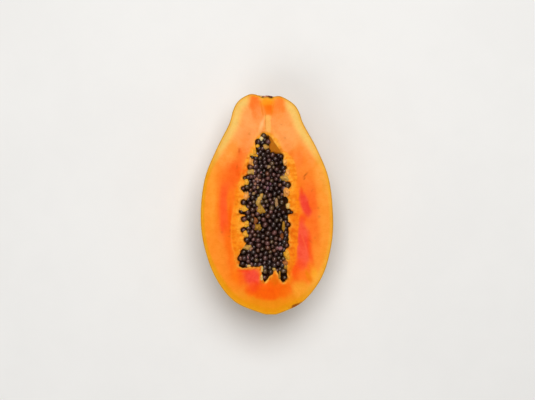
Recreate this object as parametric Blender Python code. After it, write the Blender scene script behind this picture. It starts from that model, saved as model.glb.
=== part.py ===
"""A papaya half that lies on its round back, cut face up, with its seeds in the hollow.

Metres, +Z up. +Y runs to the stem end, the cut face is level at z = CUT_HEIGHT, and the origin is on
the table under the middle of the half. The solids are the flesh with its rind, and the heap of seeds.
"""

import math
import random

import bmesh
import bpy
import numpy as np
from mathutils import Euler, Matrix, Vector

LENGTH = 0.1995
WIDTH = 0.120
CUT_HEIGHT = 0.0565
FLAT_CUT = 0.0012  # how far the round back is pressed flat where the half rests
HOLLOW_DEPTH = 0.026
WALL_STEEPNESS = 2.8  # 2 is a round bowl, more stands its wall up
HOLLOW_RINGS = 10
CUTTER_LIP = 0.0015  # how far the hollow's cutter stands above the cut face at its widest
GAP = 0.0004  # between the seeds and the flesh
SHARP_ANGLE = math.radians(50)  # edges that bend more than this are shaded sharp

# The whole fruit's outline from the blossom tip to the pit at the stem: share of LENGTH from the tip,
# share of half the WIDTH, and the sideways shift of the fruit's middle in metres.
OUTLINE = (
    (0.000, 0.000, 0.0034),
    (0.008, 0.160, 0.0032),
    (0.062, 0.530, 0.0016),
    (0.175, 0.815, 0.0014),
    (0.325, 0.970, 0.0005),
    (0.465, 1.000, -0.0002),
    (0.620, 0.936, -0.0002),
    (0.750, 0.765, -0.0002),
    (0.864, 0.567, -0.0006),
    (0.920, 0.505, -0.0007),
    (0.955, 0.445, -0.0006),
    (0.980, 0.350, -0.0008),
    (0.998, 0.220, -0.0012),
    (0.993, 0.110, -0.0004),
    (0.985, 0.070, 0.0000),
    (0.989, 0.000, 0.0000),
)
MIDDLE_SHARE = 0.5013  # of LENGTH, where y = 0
SHOULDER_TILT = 0.075  # the left shoulder stands higher than the right one
SHOULDER_FROM = 0.85  # share of LENGTH where the tilt and the neck's ribs set in
RIBS = 5
RIB_HEIGHT = 0.008  # share of the radius, on the belly
NECK_RIB_HEIGHT = 0.030

# The hollow's rim in the cut face, clockwise from its point at the stem end, as (x, y).
RIM = (
    (-0.0027, 0.0646),
    (0.0027, 0.0619),
    (0.0129, 0.0492),
    (0.0172, 0.0347),
    (0.0168, 0.0238),
    (0.0186, 0.0038),
    (0.0181, -0.0161),
    (0.0195, -0.0351),
    (0.0177, -0.0451),
    (0.0190, -0.0596),
    (0.0181, -0.0678),
    (0.0145, -0.0714),
    (0.0104, -0.0651),
    (0.0068, -0.0574),
    (0.0032, -0.0646),
    (-0.0023, -0.0705),
    (-0.0043, -0.0642),
    (-0.0052, -0.0573),
    (-0.0154, -0.0569),
    (-0.0246, -0.0571),
    (-0.0262, -0.0506),
    (-0.0224, -0.0433),
    (-0.0197, -0.0324),
    (-0.0200, -0.0161),
    (-0.0190, 0.0038),
    (-0.0172, 0.0238),
    (-0.0122, 0.0429),
    (-0.0073, 0.0592),
)
RIM_STEPS = 20  # between one of the rim's points and the next, where its curve is read finely
HOLLOW_MIDDLE = Vector((-0.0005, -0.0120))
BARE_SPOT = Vector((0.0102, 0.0560))  # where the seeds have come away from the wall
BARE_RADIUS = 0.0085

# Seeds that stand in pockets of their own in the rim, by their place in RIM counted on from its point.
EDGE_SEEDS = (3.1, 4.3, 5.55, 6.1, 6.6, 7.2, 20.3, 21.0, 22.5, 23.1, 23.5, 23.9, 24.5, 25.0, 25.5, 26.0)
SEED_SIZE = (0.0053, 0.0047, 0.0045)
SMALLEST_SEED = 0.88  # share of SEED_SIZE
SEED_PITCH = 0.0045  # between neighbours in a row
SEED_NUDGE = 0.0004  # how far a seed lies off its place in the row
SEED_JITTER = 0.0005  # how far a seed lies above or below its neighbours
SEED_CLEAR = 0.0038  # the least distance between two seeds
SEED_SHARE_SUNK = 0.20  # of a seed's thickness, from its middle down to the bed
BED_REACH = 0.965  # of the way to the hollow's wall, at most
BED_EDGE = 0.0006  # the bed's least thickness
EDGE_DEPTH = 0.0028  # of the seeds' middles below the cut face, at the rim
TROUGH_DEPTH = 0.0075  # and along the middle, at the deepest place
TROUGH_AT = 0.018
TROUGH_LENGTH = 0.038

# Places between the seeds where the pulp shows: x, y and radius.
PULP_SPOTS = (
    (-0.0025, 0.0519, 0.0028),
    (-0.0072, 0.0060, 0.0034),
    (-0.0056, -0.0050, 0.0038),
    (-0.0091, -0.0202, 0.0034),
    (0.0088, 0.0024, 0.0026),
)


def smooth_curve(points, count, closed=False):
    """A Catmull-Rom curve through the points, at evenly spaced shares of its spans."""
    points = np.array(points)
    if closed:
        padded = np.vstack([points[-1], points, points[:2]])
    else:
        mirror = np.array([1.0, -1.0, 1.0])
        padded = np.vstack([points[1] * mirror, points, points[-2] * mirror])
    spans = len(padded) - 3
    at = np.linspace(0, spans, count, endpoint=not closed)
    span = np.minimum(at.astype(int), spans - 1)
    t = (at - span)[:, None]
    before, start, end, after = (padded[span + k] for k in range(4))
    return 0.5 * (
        2 * start
        + (end - before) * t
        + (2 * before - 5 * start + 4 * end - after) * t**2
        + (3 * start - before - 3 * end + after) * t**3
    )


def smooth_step(low, high, value):
    share = min(max((value - low) / (high - low), 0), 1)
    return share * share * (3 - 2 * share)


def material(name, colour, roughness):
    made = bpy.data.materials.new(name)
    made.use_nodes = True
    shader = made.node_tree.nodes["Principled BSDF"]
    shader.inputs["Base Color"].default_value = (*colour, 1)
    shader.inputs["Roughness"].default_value = roughness
    shader.inputs["Metallic"].default_value = 0
    return made


def object_from(bm, name, collection, finish=None):
    mesh = bpy.data.meshes.new(name)
    if bm.calc_volume(signed=True) < 0:
        bmesh.ops.reverse_faces(bm, faces=bm.faces)
    bm.to_mesh(mesh)
    bm.free()
    made = bpy.data.objects.new(name, mesh)
    collection.objects.link(made)
    if finish:
        mesh.materials.append(finish)
    return made


def edge_spots():
    rim = smooth_curve(RIM, len(RIM) * RIM_STEPS, closed=True)
    return [Vector(rim[round(place * RIM_STEPS)]) for place in EDGE_SEEDS]


def unit_sphere(around, rings):
    bm = bmesh.new()
    bmesh.ops.create_uvsphere(bm, u_segments=around, v_segments=rings, radius=1)
    return bm


def sphere_place(co):
    """A unit sphere's vertex as its share of the way from the top pole to the bottom one, and its angle."""
    down = math.acos(min(max(co.z, -1), 1)) / math.pi
    return down, math.atan2(co.y, co.x)


def cut_flat(bm, height, normal):
    """Cuts away what lies past a level plane and closes the cut."""
    geometry = bm.verts[:] + bm.edges[:] + bm.faces[:]
    plane = (0, 0, height)
    bmesh.ops.bisect_plane(
        bm, geom=geometry, dist=1e-6, plane_co=plane, plane_no=normal, clear_outer=True
    )
    rim = [edge for edge in bm.edges if edge.is_boundary]
    bmesh.ops.contextual_create(bm, geom=rim)


def half_fruit(collection, finish, around=52, stations=38):
    """The fruit's turned, ribbed outline as a closed body, cut level through its middle and at its base."""
    profile = smooth_curve(OUTLINE, stations + 1)
    back_depth = CUT_HEIGHT + FLAT_CUT
    bm = unit_sphere(around, stations)
    for vertex in bm.verts:
        down, angle = sphere_place(vertex.co)
        share, radius, shift = profile[round((1 - down) * stations)]
        neck = smooth_step(SHOULDER_FROM, 1, share)
        rib = RIB_HEIGHT + (NECK_RIB_HEIGHT - RIB_HEIGHT) * neck
        radius *= 1 - rib * math.sin(RIBS * angle)
        x = radius * WIDTH / 2 * math.cos(angle)
        y = (share - MIDDLE_SHARE) * LENGTH - SHOULDER_TILT * neck * x
        z = CUT_HEIGHT + radius * back_depth * math.sin(angle)
        vertex.co = (x + shift, y, z)
    cut_flat(bm, CUT_HEIGHT, (0, 0, 1))
    cut_flat(bm, 0, (0, 0, -1))
    return object_from(bm, "flesh", collection, finish)


def hollow_wall_depth(share):
    """How deep the hollow is, where share is 0 in its middle and 1 at its rim."""
    return HOLLOW_DEPTH * max(1 - share**WALL_STEEPNESS, 0) ** (1 / WALL_STEEPNESS)


def hollow_cutter(collection, around=2 * len(RIM), rings=HOLLOW_RINGS):
    """A bowl under the rim's outline. Its widest ring stands a little above the cut face."""
    rim = smooth_curve(RIM, around, closed=True)
    middle = np.array(HOLLOW_MIDDLE)
    bm = unit_sphere(around, rings)
    for vertex in bm.verts:
        down, angle = sphere_place(vertex.co)
        share = math.sin(down * math.pi)
        edge = rim[round(-angle / (2 * math.pi) * around) % around]
        x, y = middle + (edge - middle) * share
        if down < 0.5:
            z = CUT_HEIGHT + CUTTER_LIP * (1 + math.cos(down * math.pi))
        else:
            z = CUT_HEIGHT + CUTTER_LIP - (1 + CUTTER_LIP / HOLLOW_DEPTH) * hollow_wall_depth(share)
        vertex.co = (x, y, z)
    return object_from(bm, "hollow", collection)


def pocket_cutter(collection, name, spot, around=8, rings=4):
    """A round pocket whose flat faces clear one edge seed by the gap."""
    radius = (SEED_SIZE[0] / 2 + GAP) / math.cos(math.pi / around) ** 2
    bm = unit_sphere(around, rings)
    place = Matrix.Translation((*spot, CUT_HEIGHT - EDGE_DEPTH))
    bmesh.ops.transform(bm, matrix=place @ Matrix.Scale(radius, 4), verts=bm.verts)
    return object_from(bm, name, collection)


def hollow_reach(x, y):
    """How far out a point lies, from 0 in the hollow's middle to 1 at its rim."""
    rim = smooth_curve(RIM, len(RIM) * RIM_STEPS, closed=True) - np.array(HOLLOW_MIDDLE)
    out = Vector((x, y)) - HOLLOW_MIDDLE
    radii = np.linalg.norm(rim, axis=1)
    angles = np.arctan2(rim[:, 1], rim[:, 0])
    return out.length / np.interp(math.atan2(out.y, out.x), angles, radii, period=math.tau)


def seeds_depth(x, y):
    """How far the seeds' middles lie under the cut face: a shallow trough, deepest at TROUGH_AT."""
    along = math.exp(-(((y - TROUGH_AT) / TROUGH_LENGTH) ** 2))
    across = max(1 - hollow_reach(x, y) ** 2, 0)
    return EDGE_DEPTH + (TROUGH_DEPTH - EDGE_DEPTH) * along * across


def inset_rim(count, distance):
    """The rim moved inwards by the distance, square to itself."""
    rim = smooth_curve(RIM, count, closed=True)
    along = np.roll(rim, -1, axis=0) - np.roll(rim, 1, axis=0)
    along /= np.linalg.norm(along, axis=1, keepdims=True)
    inwards = np.column_stack([along[:, 1], -along[:, 0]])
    return rim + inwards * distance


def short_of_bare_spot(point):
    """The point, drawn back towards the hollow's middle where it lies in or beyond the bare spot."""
    ray = Vector(point) - HOLLOW_MIDDLE
    spot = BARE_SPOT - HOLLOW_MIDDLE
    along = ray.normalized().dot(spot)
    aside = spot.length_squared - along * along
    if along < 0 or aside >= BARE_RADIUS**2:
        return Vector(point)
    near = along - math.sqrt(BARE_RADIUS**2 - aside)
    return HOLLOW_MIDDLE + ray.normalized() * min(near, ray.length)


def seed_bed(collection, around=2 * len(RIM), rings=HOLLOW_RINGS):
    """What the seeds are fused to: a body that fills the hollow's wall up to the seeds' undersides."""
    walls = [Vector(point) - HOLLOW_MIDDLE for point in smooth_curve(RIM, around, closed=True)]
    edges = [short_of_bare_spot(point) - HOLLOW_MIDDLE for point in inset_rim(around, 2 * GAP)]
    for edge, wall in zip(edges, walls):
        edge.length = min(edge.length, wall.length * BED_REACH)
    sunk = SEED_SHARE_SUNK * SEED_SIZE[2]
    bm = unit_sphere(around, rings)
    widest_above = math.sin(math.pi * (rings / 2 - 1) / rings)
    for vertex in bm.verts:
        down, angle = sphere_place(vertex.co)
        i = round(-angle / (2 * math.pi) * around) % around
        share = math.sin(down * math.pi)
        above = down < 0.5 - 0.25 / rings
        if above:
            share = min(share / widest_above, 1)
        place = HOLLOW_MIDDLE + edges[i] * share
        depth = seeds_depth(*place) + sunk
        if not above:
            depth = max(depth + BED_EDGE, hollow_wall_depth(share) * BED_REACH)
        vertex.co = (*place, CUT_HEIGHT - depth)
    return object_from(bm, "seeds", collection)


def row_spots(draw, low, high):
    """Spots in staggered rows over the rectangle from low to high, each nudged off its place."""
    step = SEED_PITCH * math.sqrt(3) / 2
    for row in range(int((high[1] - low[1]) / step) + 1):
        start = low[0] + SEED_PITCH / 2 * (row % 2)
        for place in range(int((high[0] - start) / SEED_PITCH) + 1):
            nudge = Vector((draw.uniform(-1, 1), draw.uniform(-1, 1))) * SEED_NUDGE
            yield Vector((start + place * SEED_PITCH, low[1] + row * step)) + nudge


def seed_spots(draw):
    """Where the seeds lie: the edge seeds, a string of them along the rim, then rows in between."""
    rim = smooth_curve(RIM, len(RIM) * RIM_STEPS, closed=True)
    half = SEED_SIZE[1] / 2 + 2 * GAP
    string = [Vector(point) for point in inset_rim(len(rim), half + GAP)]
    rows = list(row_spots(draw, rim.min(axis=0), rim.max(axis=0)))
    spots = edge_spots()
    for clear, choices in ((SEED_PITCH, string), (SEED_CLEAR, rows)):
        for spot in choices:
            if any((spot - other).length < clear for other in spots):
                continue
            if not inside(spot, rim) or np.linalg.norm(rim - spot, axis=1).min() < half:
                continue
            if (spot - BARE_SPOT).length < BARE_RADIUS:
                continue
            if any((spot - Vector((x, y))).length < radius for x, y, radius in PULP_SPOTS):
                continue
            spots.append(spot)
    return spots


def inside(spot, outline):
    """Whether the spot lies inside the closed outline: a ray along +X crosses it an odd number of times."""
    start, end = outline, np.roll(outline, -1, axis=0)
    spans = (start[:, 1] > spot.y) != (end[:, 1] > spot.y)
    a, b = start[spans], end[spans]
    crossing = a[:, 0] + (spot.y - a[:, 1]) / (b[:, 1] - a[:, 1]) * (b[:, 0] - a[:, 0])
    return (crossing > spot.x).sum() % 2 == 1


def lay_seeds(collection):
    """Egg-shaped seeds, each turned its own way, as one object each."""
    draw = random.Random(7)
    bm = bmesh.new()
    bmesh.ops.create_icosphere(bm, subdivisions=1, radius=1)
    egg = bpy.data.meshes.new("seed")
    bm.to_mesh(egg)
    bm.free()
    for number, spot in enumerate(seed_spots(draw)):
        turn = Euler([draw.uniform(0, math.tau) for _ in range(3)])
        size = draw.uniform(SMALLEST_SEED, 1)
        depth = seeds_depth(*spot) + draw.uniform(-SEED_JITTER, SEED_JITTER)
        half = Matrix.Diagonal((*(size * s / 2 for s in SEED_SIZE), 1))
        seed = bpy.data.objects.new(f"seed_{number:03d}", egg)
        seed.matrix_world = (
            Matrix.Translation((*spot, CUT_HEIGHT - depth)) @ turn.to_matrix().to_4x4() @ half
        )
        collection.objects.link(seed)


def boolean(target, collection, operation, solver):
    """Joins or cuts the target with every object of the collection, applies it and removes them."""
    modifier = target.modifiers.new(operation.lower(), "BOOLEAN")
    modifier.operand_type = "COLLECTION"
    modifier.collection = collection
    modifier.operation = operation
    modifier.solver = solver
    bpy.context.view_layer.update()
    evaluated = target.evaluated_get(bpy.context.evaluated_depsgraph_get())
    result = bpy.data.meshes.new_from_object(evaluated)
    target.modifiers.clear()
    target.data = result
    for other in list(collection.objects):
        bpy.data.objects.remove(other)
    bpy.data.collections.remove(collection)


def keep_outer_shell(target):
    """Removes scraps and sealed hollows: every piece of the surface but the largest one."""
    bm = bmesh.new()
    bm.from_mesh(target.data)
    left, shells = set(bm.faces), []
    while left:
        shell = edge = {left.pop()}
        while edge:
            edge = {near for f in edge for e in f.edges for near in e.link_faces} - shell
            shell = shell | edge
        left -= shell
        shells.append(shell)
    largest = max(shells, key=len)
    bmesh.ops.delete(bm, geom=[f for f in bm.faces if f not in largest], context="FACES")
    bm.to_mesh(target.data)
    bm.free()


def new_collection(name):
    made = bpy.data.collections.new(name)
    bpy.context.scene.collection.children.link(made)
    return made


def main():
    for obj in list(bpy.data.objects):
        bpy.data.objects.remove(obj)
    papaya = new_collection("papaya_half")

    flesh = half_fruit(papaya, material("ripe_flesh", (0.95, 0.26, 0.02), 0.45))
    cutters = new_collection("cutters")
    hollow_cutter(cutters)
    for number, spot in enumerate(edge_spots()):
        pocket_cutter(cutters, f"pocket_{number:02d}", spot)
    boolean(flesh, cutters, "DIFFERENCE", "EXACT")

    seeds = seed_bed(papaya)
    loose = new_collection("loose_seeds")
    lay_seeds(loose)
    boolean(seeds, loose, "UNION", "EXACT")
    keep_outer_shell(seeds)
    seeds.data.materials.clear()
    seeds.data.materials.append(material("dark_seeds", (0.018, 0.012, 0.014), 0.25))
    for made in (flesh, seeds):
        made.data.shade_smooth()
        made.data.set_sharp_from_angle(angle=SHARP_ANGLE)


main()
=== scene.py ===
"""A papaya half as it looks: moist orange flesh, thin golden rind, dark wet seeds and pulp.

Lengths are metres, +Z up, +Y towards the stem end. The cut face is level at z = CUT. Lists of
places on the cut face are in millimetres, as (x, y), and are turned into metres where they are used.
"""

import math

import bpy
import numpy as np
from bpy.props import FloatProperty, FloatVectorProperty, IntProperty, PointerProperty
from bpy.types import Operator, Panel, PropertyGroup
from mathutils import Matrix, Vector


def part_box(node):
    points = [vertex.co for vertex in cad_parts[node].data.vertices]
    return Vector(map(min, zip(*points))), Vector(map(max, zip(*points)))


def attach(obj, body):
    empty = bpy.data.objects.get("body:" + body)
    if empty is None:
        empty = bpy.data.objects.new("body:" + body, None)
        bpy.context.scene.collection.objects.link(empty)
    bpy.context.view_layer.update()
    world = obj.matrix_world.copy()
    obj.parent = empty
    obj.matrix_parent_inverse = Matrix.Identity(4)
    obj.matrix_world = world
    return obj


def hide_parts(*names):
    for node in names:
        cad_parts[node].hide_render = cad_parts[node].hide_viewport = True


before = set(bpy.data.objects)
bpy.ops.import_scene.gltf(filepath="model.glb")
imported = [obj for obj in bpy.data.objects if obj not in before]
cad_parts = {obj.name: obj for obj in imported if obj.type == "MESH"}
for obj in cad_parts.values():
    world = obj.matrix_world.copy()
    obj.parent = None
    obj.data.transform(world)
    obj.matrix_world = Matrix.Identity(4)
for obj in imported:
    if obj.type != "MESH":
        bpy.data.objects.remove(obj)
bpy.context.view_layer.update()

bl_info = {
    "name": "Papaya half",
    "version": (1, 0, 0),
    "blender": (4, 5, 0),
    "location": "View3D > Sidebar > Papaya",
    "description": "Builds a cut papaya half with its rind, flesh, pulp and seeds",
    "category": "Add Mesh",
}

FLESH_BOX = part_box("flesh")
MM = 0.001

# Sizes of the half. The cut face is the top of the flesh's box.
CUT = FLESH_BOX[1][2]
LENGTH = 0.1995
HALF_WIDTH = 0.060
FLAT_CUT = 0.0012
HOLLOW_DEPTH = 0.026
WALL_STEEPNESS = 2.8
MIDDLE_SHARE = 0.5013
SHOULDER_TILT = 0.075
SHOULDER_FROM = 0.85
RIBS = 5
RIB_HEIGHT = 0.008
NECK_RIB_HEIGHT = 0.030

# The outline from the blossom tip to the pit at the stem: share of LENGTH, share of HALF_WIDTH and
# the sideways shift of the fruit's middle.
OUTLINE = (
    (0.000, 0.000, 0.0034), (0.008, 0.160, 0.0032), (0.062, 0.530, 0.0016), (0.175, 0.815, 0.0014),
    (0.325, 0.970, 0.0005), (0.465, 1.000, -0.0002), (0.620, 0.936, -0.0002), (0.750, 0.765, -0.0002),
    (0.864, 0.567, -0.0006), (0.920, 0.505, -0.0007), (0.955, 0.445, -0.0006), (0.980, 0.350, -0.0008),
    (0.998, 0.220, -0.0012), (0.993, 0.110, -0.0004), (0.985, 0.070, 0.0000), (0.989, 0.000, 0.0000),
)

# The hollow's rim in the cut face, clockwise from its point at the stem end, in millimetres.
RIM = (
    (-2.7, 64.6), (2.7, 61.9), (7.3, 55.5), (12.6, 47.6), (14.9, 41.0), (16.6, 34.7), (16.8, 23.8),
    (19.3, 3.8), (19.0, -16.1), (19.5, -35.1), (17.7, -45.1), (18.2, -59.6), (17.3, -67.8),
    (14.5, -71.4), (10.4, -65.1), (6.8, -57.4), (3.2, -64.6), (-2.3, -70.5), (-4.3, -64.2),
    (-5.4, -57.7), (-15.4, -57.3), (-24.4, -57.3), (-25.0, -52.6), (-21.2, -46.8), (-17.9, -41.0),
    (-18.8, -32.4), (-20.0, -16.1), (-19.0, 3.8), (-17.2, 23.8), (-12.2, 42.9), (-7.3, 59.2),
)
# The outer edge of the band of loose pulp round the hollow, clockwise from the stem end.
PULP_EDGE = (
    (-1.8, 65.6), (3.2, 63.9), (8.6, 59.2), (13.6, 51.9), (19.2, 45.8), (23.2, 41.0), (25.6, 34.7),
    (27.2, 23.8), (28.1, 11.1), (29.0, -0.7), (28.6, -14.3), (28.1, -27.9), (27.2, -41.5),
    (25.4, -51.5), (22.2, -58.7), (20.4, -66.0), (17.2, -72.8), (12.7, -71.4), (9.5, -66.0),
    (5.9, -60.5), (2.7, -67.8), (-2.7, -71.9), (-5.8, -68.7), (-6.8, -60.0), (-15.4, -59.0),
    (-24.9, -59.4), (-28.6, -52.4), (-30.8, -41.5), (-32.5, -27.9), (-31.2, -9.8), (-29.6, 2.9),
    (-27.2, 14.7), (-23.6, 25.6), (-20.4, 36.5), (-16.3, 47.4), (-11.8, 55.6), (-7.3, 62.8),
)
# The place in metres from which the rim is measured, and how far the hollow's long axis runs along Y.
MIDDLE = np.array([-0.5, -12.0]) * MM
HOLLOW_AXIS = (-0.050, 0.045)
# Where the seeds have come away from the wall: the stretch of rim that is smooth, a round bite out of
# the pulp, and the squarer patch, as x, y, half-width and half-height, that is clear of seeds.
SMOOTH_RIM = (8.0, 57.0)
BARE_SPOT = (10.0, 55.4)
BARE_RADIUS = 9.0
BARE_PATCH = (8.2, 55.1, 7.6, 9.4)
HIGHEST_LOOSE_SEED = 51.5

# Seeds that stand in pockets of their own in the rim: x, y and length.
EDGE_SEEDS = (
    (-3.0, 62.4, 6.0), (-7.8, 56.5, 6.2), (0.7, 56.7, 6.2), (-4.0, 56.0, 5.4), (-2.2, 58.9, 4.6),
    (-7.0, 51.0, 4.8), (-4.2, 50.8, 5.2), (-13.6, 42.9, 3.6), (-14.9, 33.8, 6.0), (-20.1, 23.8, 3.2),
    (-17.1, 24.3, 5.2), (-21.6, 14.3, 4.0), (-18.1, 15.6, 5.4), (-21.2, 1.7, 5.4), (-23.2, -6.6, 4.4),
    (-20.7, -13.6, 5.6), (-21.4, -23.4, 5.0), (-18.0, -32.1, 6.0), (-21.2, -43.3, 5.6),
    (-23.9, -49.3, 5.8), (-22.3, -53.8, 5.2), (12.4, 43.4, 5.2), (14.7, 33.2, 6.2), (12.6, 38.2, 4.8),
    (18.7, 17.5, 6.0), (19.6, -6.7, 4.8), (22.3, -7.4, 2.6), (18.9, -18.6, 5.0), (17.1, -25.4, 5.2),
    (16.7, -31.0, 5.0), (17.6, -37.3, 5.0), (14.9, -60.5, 6.6), (16.0, -66.5, 5.0), (-1.5, -60.9, 6.0),
    (-2.4, -66.3, 5.0),
)

# Lobes of pulp between the seeds and along the rim: x, y, half its width, half its height, and kind.
LOBES = (
    (-5.3, 59.8, 1.9, 1.8, "pale"), (-1.3, 52.1, 2.5, 2.2, "straw"), (-8.7, 52.8, 1.8, 1.6, "yellow"),
    (-11.9, 46.3, 3.2, 3.8, "yellow"), (-14.5, 38.3, 2.4, 3.3, "orange"),
    (-14.8, 28.9, 3.2, 2.4, "straw"), (-19.0, 20.2, 2.2, 2.5, "yellow"),
    (-19.0, 7.9, 2.4, 2.9, "orange"), (1.4, 34.0, 1.8, 1.5, "tan"), (-6.0, 29.5, 1.2, 1.3, "pink"),
    (-9.6, 23.4, 1.7, 1.4, "rosy"), (-10.9, 18.9, 1.3, 1.6, "rosy"), (-9.0, 15.4, 1.7, 1.2, "tan"),
    (-6.7, 22.0, 1.2, 1.3, "rosy"), (0.5, 14.9, 1.2, 1.6, "mauve"), (2.5, 18.4, 1.4, 1.3, "mauve"),
    (-12.7, 9.3, 1.7, 1.8, "tan"), (-5.0, 7.8, 1.7, 2.2, "straw"), (-6.9, 5.0, 1.9, 2.2, "straw"),
    (-8.0, 1.1, 2.1, 2.8, "straw"), (-6.2, -2.4, 2.1, 2.3, "amber"), (-5.2, -5.4, 2.9, 2.9, "amber"),
    (-10.2, -15.2, 2.0, 2.4, "rust"), (-8.5, -20.8, 3.1, 2.7, "amber"), (8.6, 1.5, 1.3, 3.4, "tan"),
    (16.3, 23.6, 3.5, 2.2, "straw"), (18.8, 28.6, 2.0, 2.8, "orange"), (16.6, 38.6, 1.9, 2.6, "orange"),
    (17.8, 10.4, 2.7, 3.8, "orange"), (18.8, -1.6, 1.9, 2.4, "cream"), (15.0, -20.1, 1.2, 4.6, "amber"),
    (13.6, -28.8, 1.5, 3.1, "rust"), (18.1, -45.7, 2.7, 4.5, "yellow"),
    (16.6, -53.0, 2.5, 3.0, "russet"), (16.9, -56.6, 1.6, 2.4, "amber"),
    (-21.2, -3.4, 3.3, 2.2, "yellow"), (-19.0, -18.5, 2.5, 2.7, "yellow"),
    (-20.0, -27.3, 2.7, 2.5, "yellow"), (-18.6, -39.2, 3.4, 2.2, "straw"),
    (-14.7, -41.0, 1.7, 1.7, "rosy"), (-16.3, -56.0, 1.6, 0.9, "cream"),
    (-4.6, -59.0, 1.1, 2.4, "cream"), (-4.9, -66.5, 1.1, 2.7, "cream"), (6.5, -58.2, 1.4, 2.6, "straw"),
    (11.4, -63.8, 0.9, 3.0, "amber"), (-18.0, -48.8, 1.6, 1.8, "pink"), (12.3, -40.2, 1.8, 1.8, "pink"),
)
LOBE_COLOURS = {
    "pale": "#FBDC98",
    "cream": "#F0C470",
    "straw": "#D2A452",
    "yellow": "#F6B23A",
    "orange": "#FFB058",
    "amber": "#B8862E",
    "rust": "#96562A",
    "russet": "#AA6C3C",
    "tan": "#A8845A",
    "rosy": "#A4745C",
    "pink": "#A07070",
    "mauve": "#7E5662",
}

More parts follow.
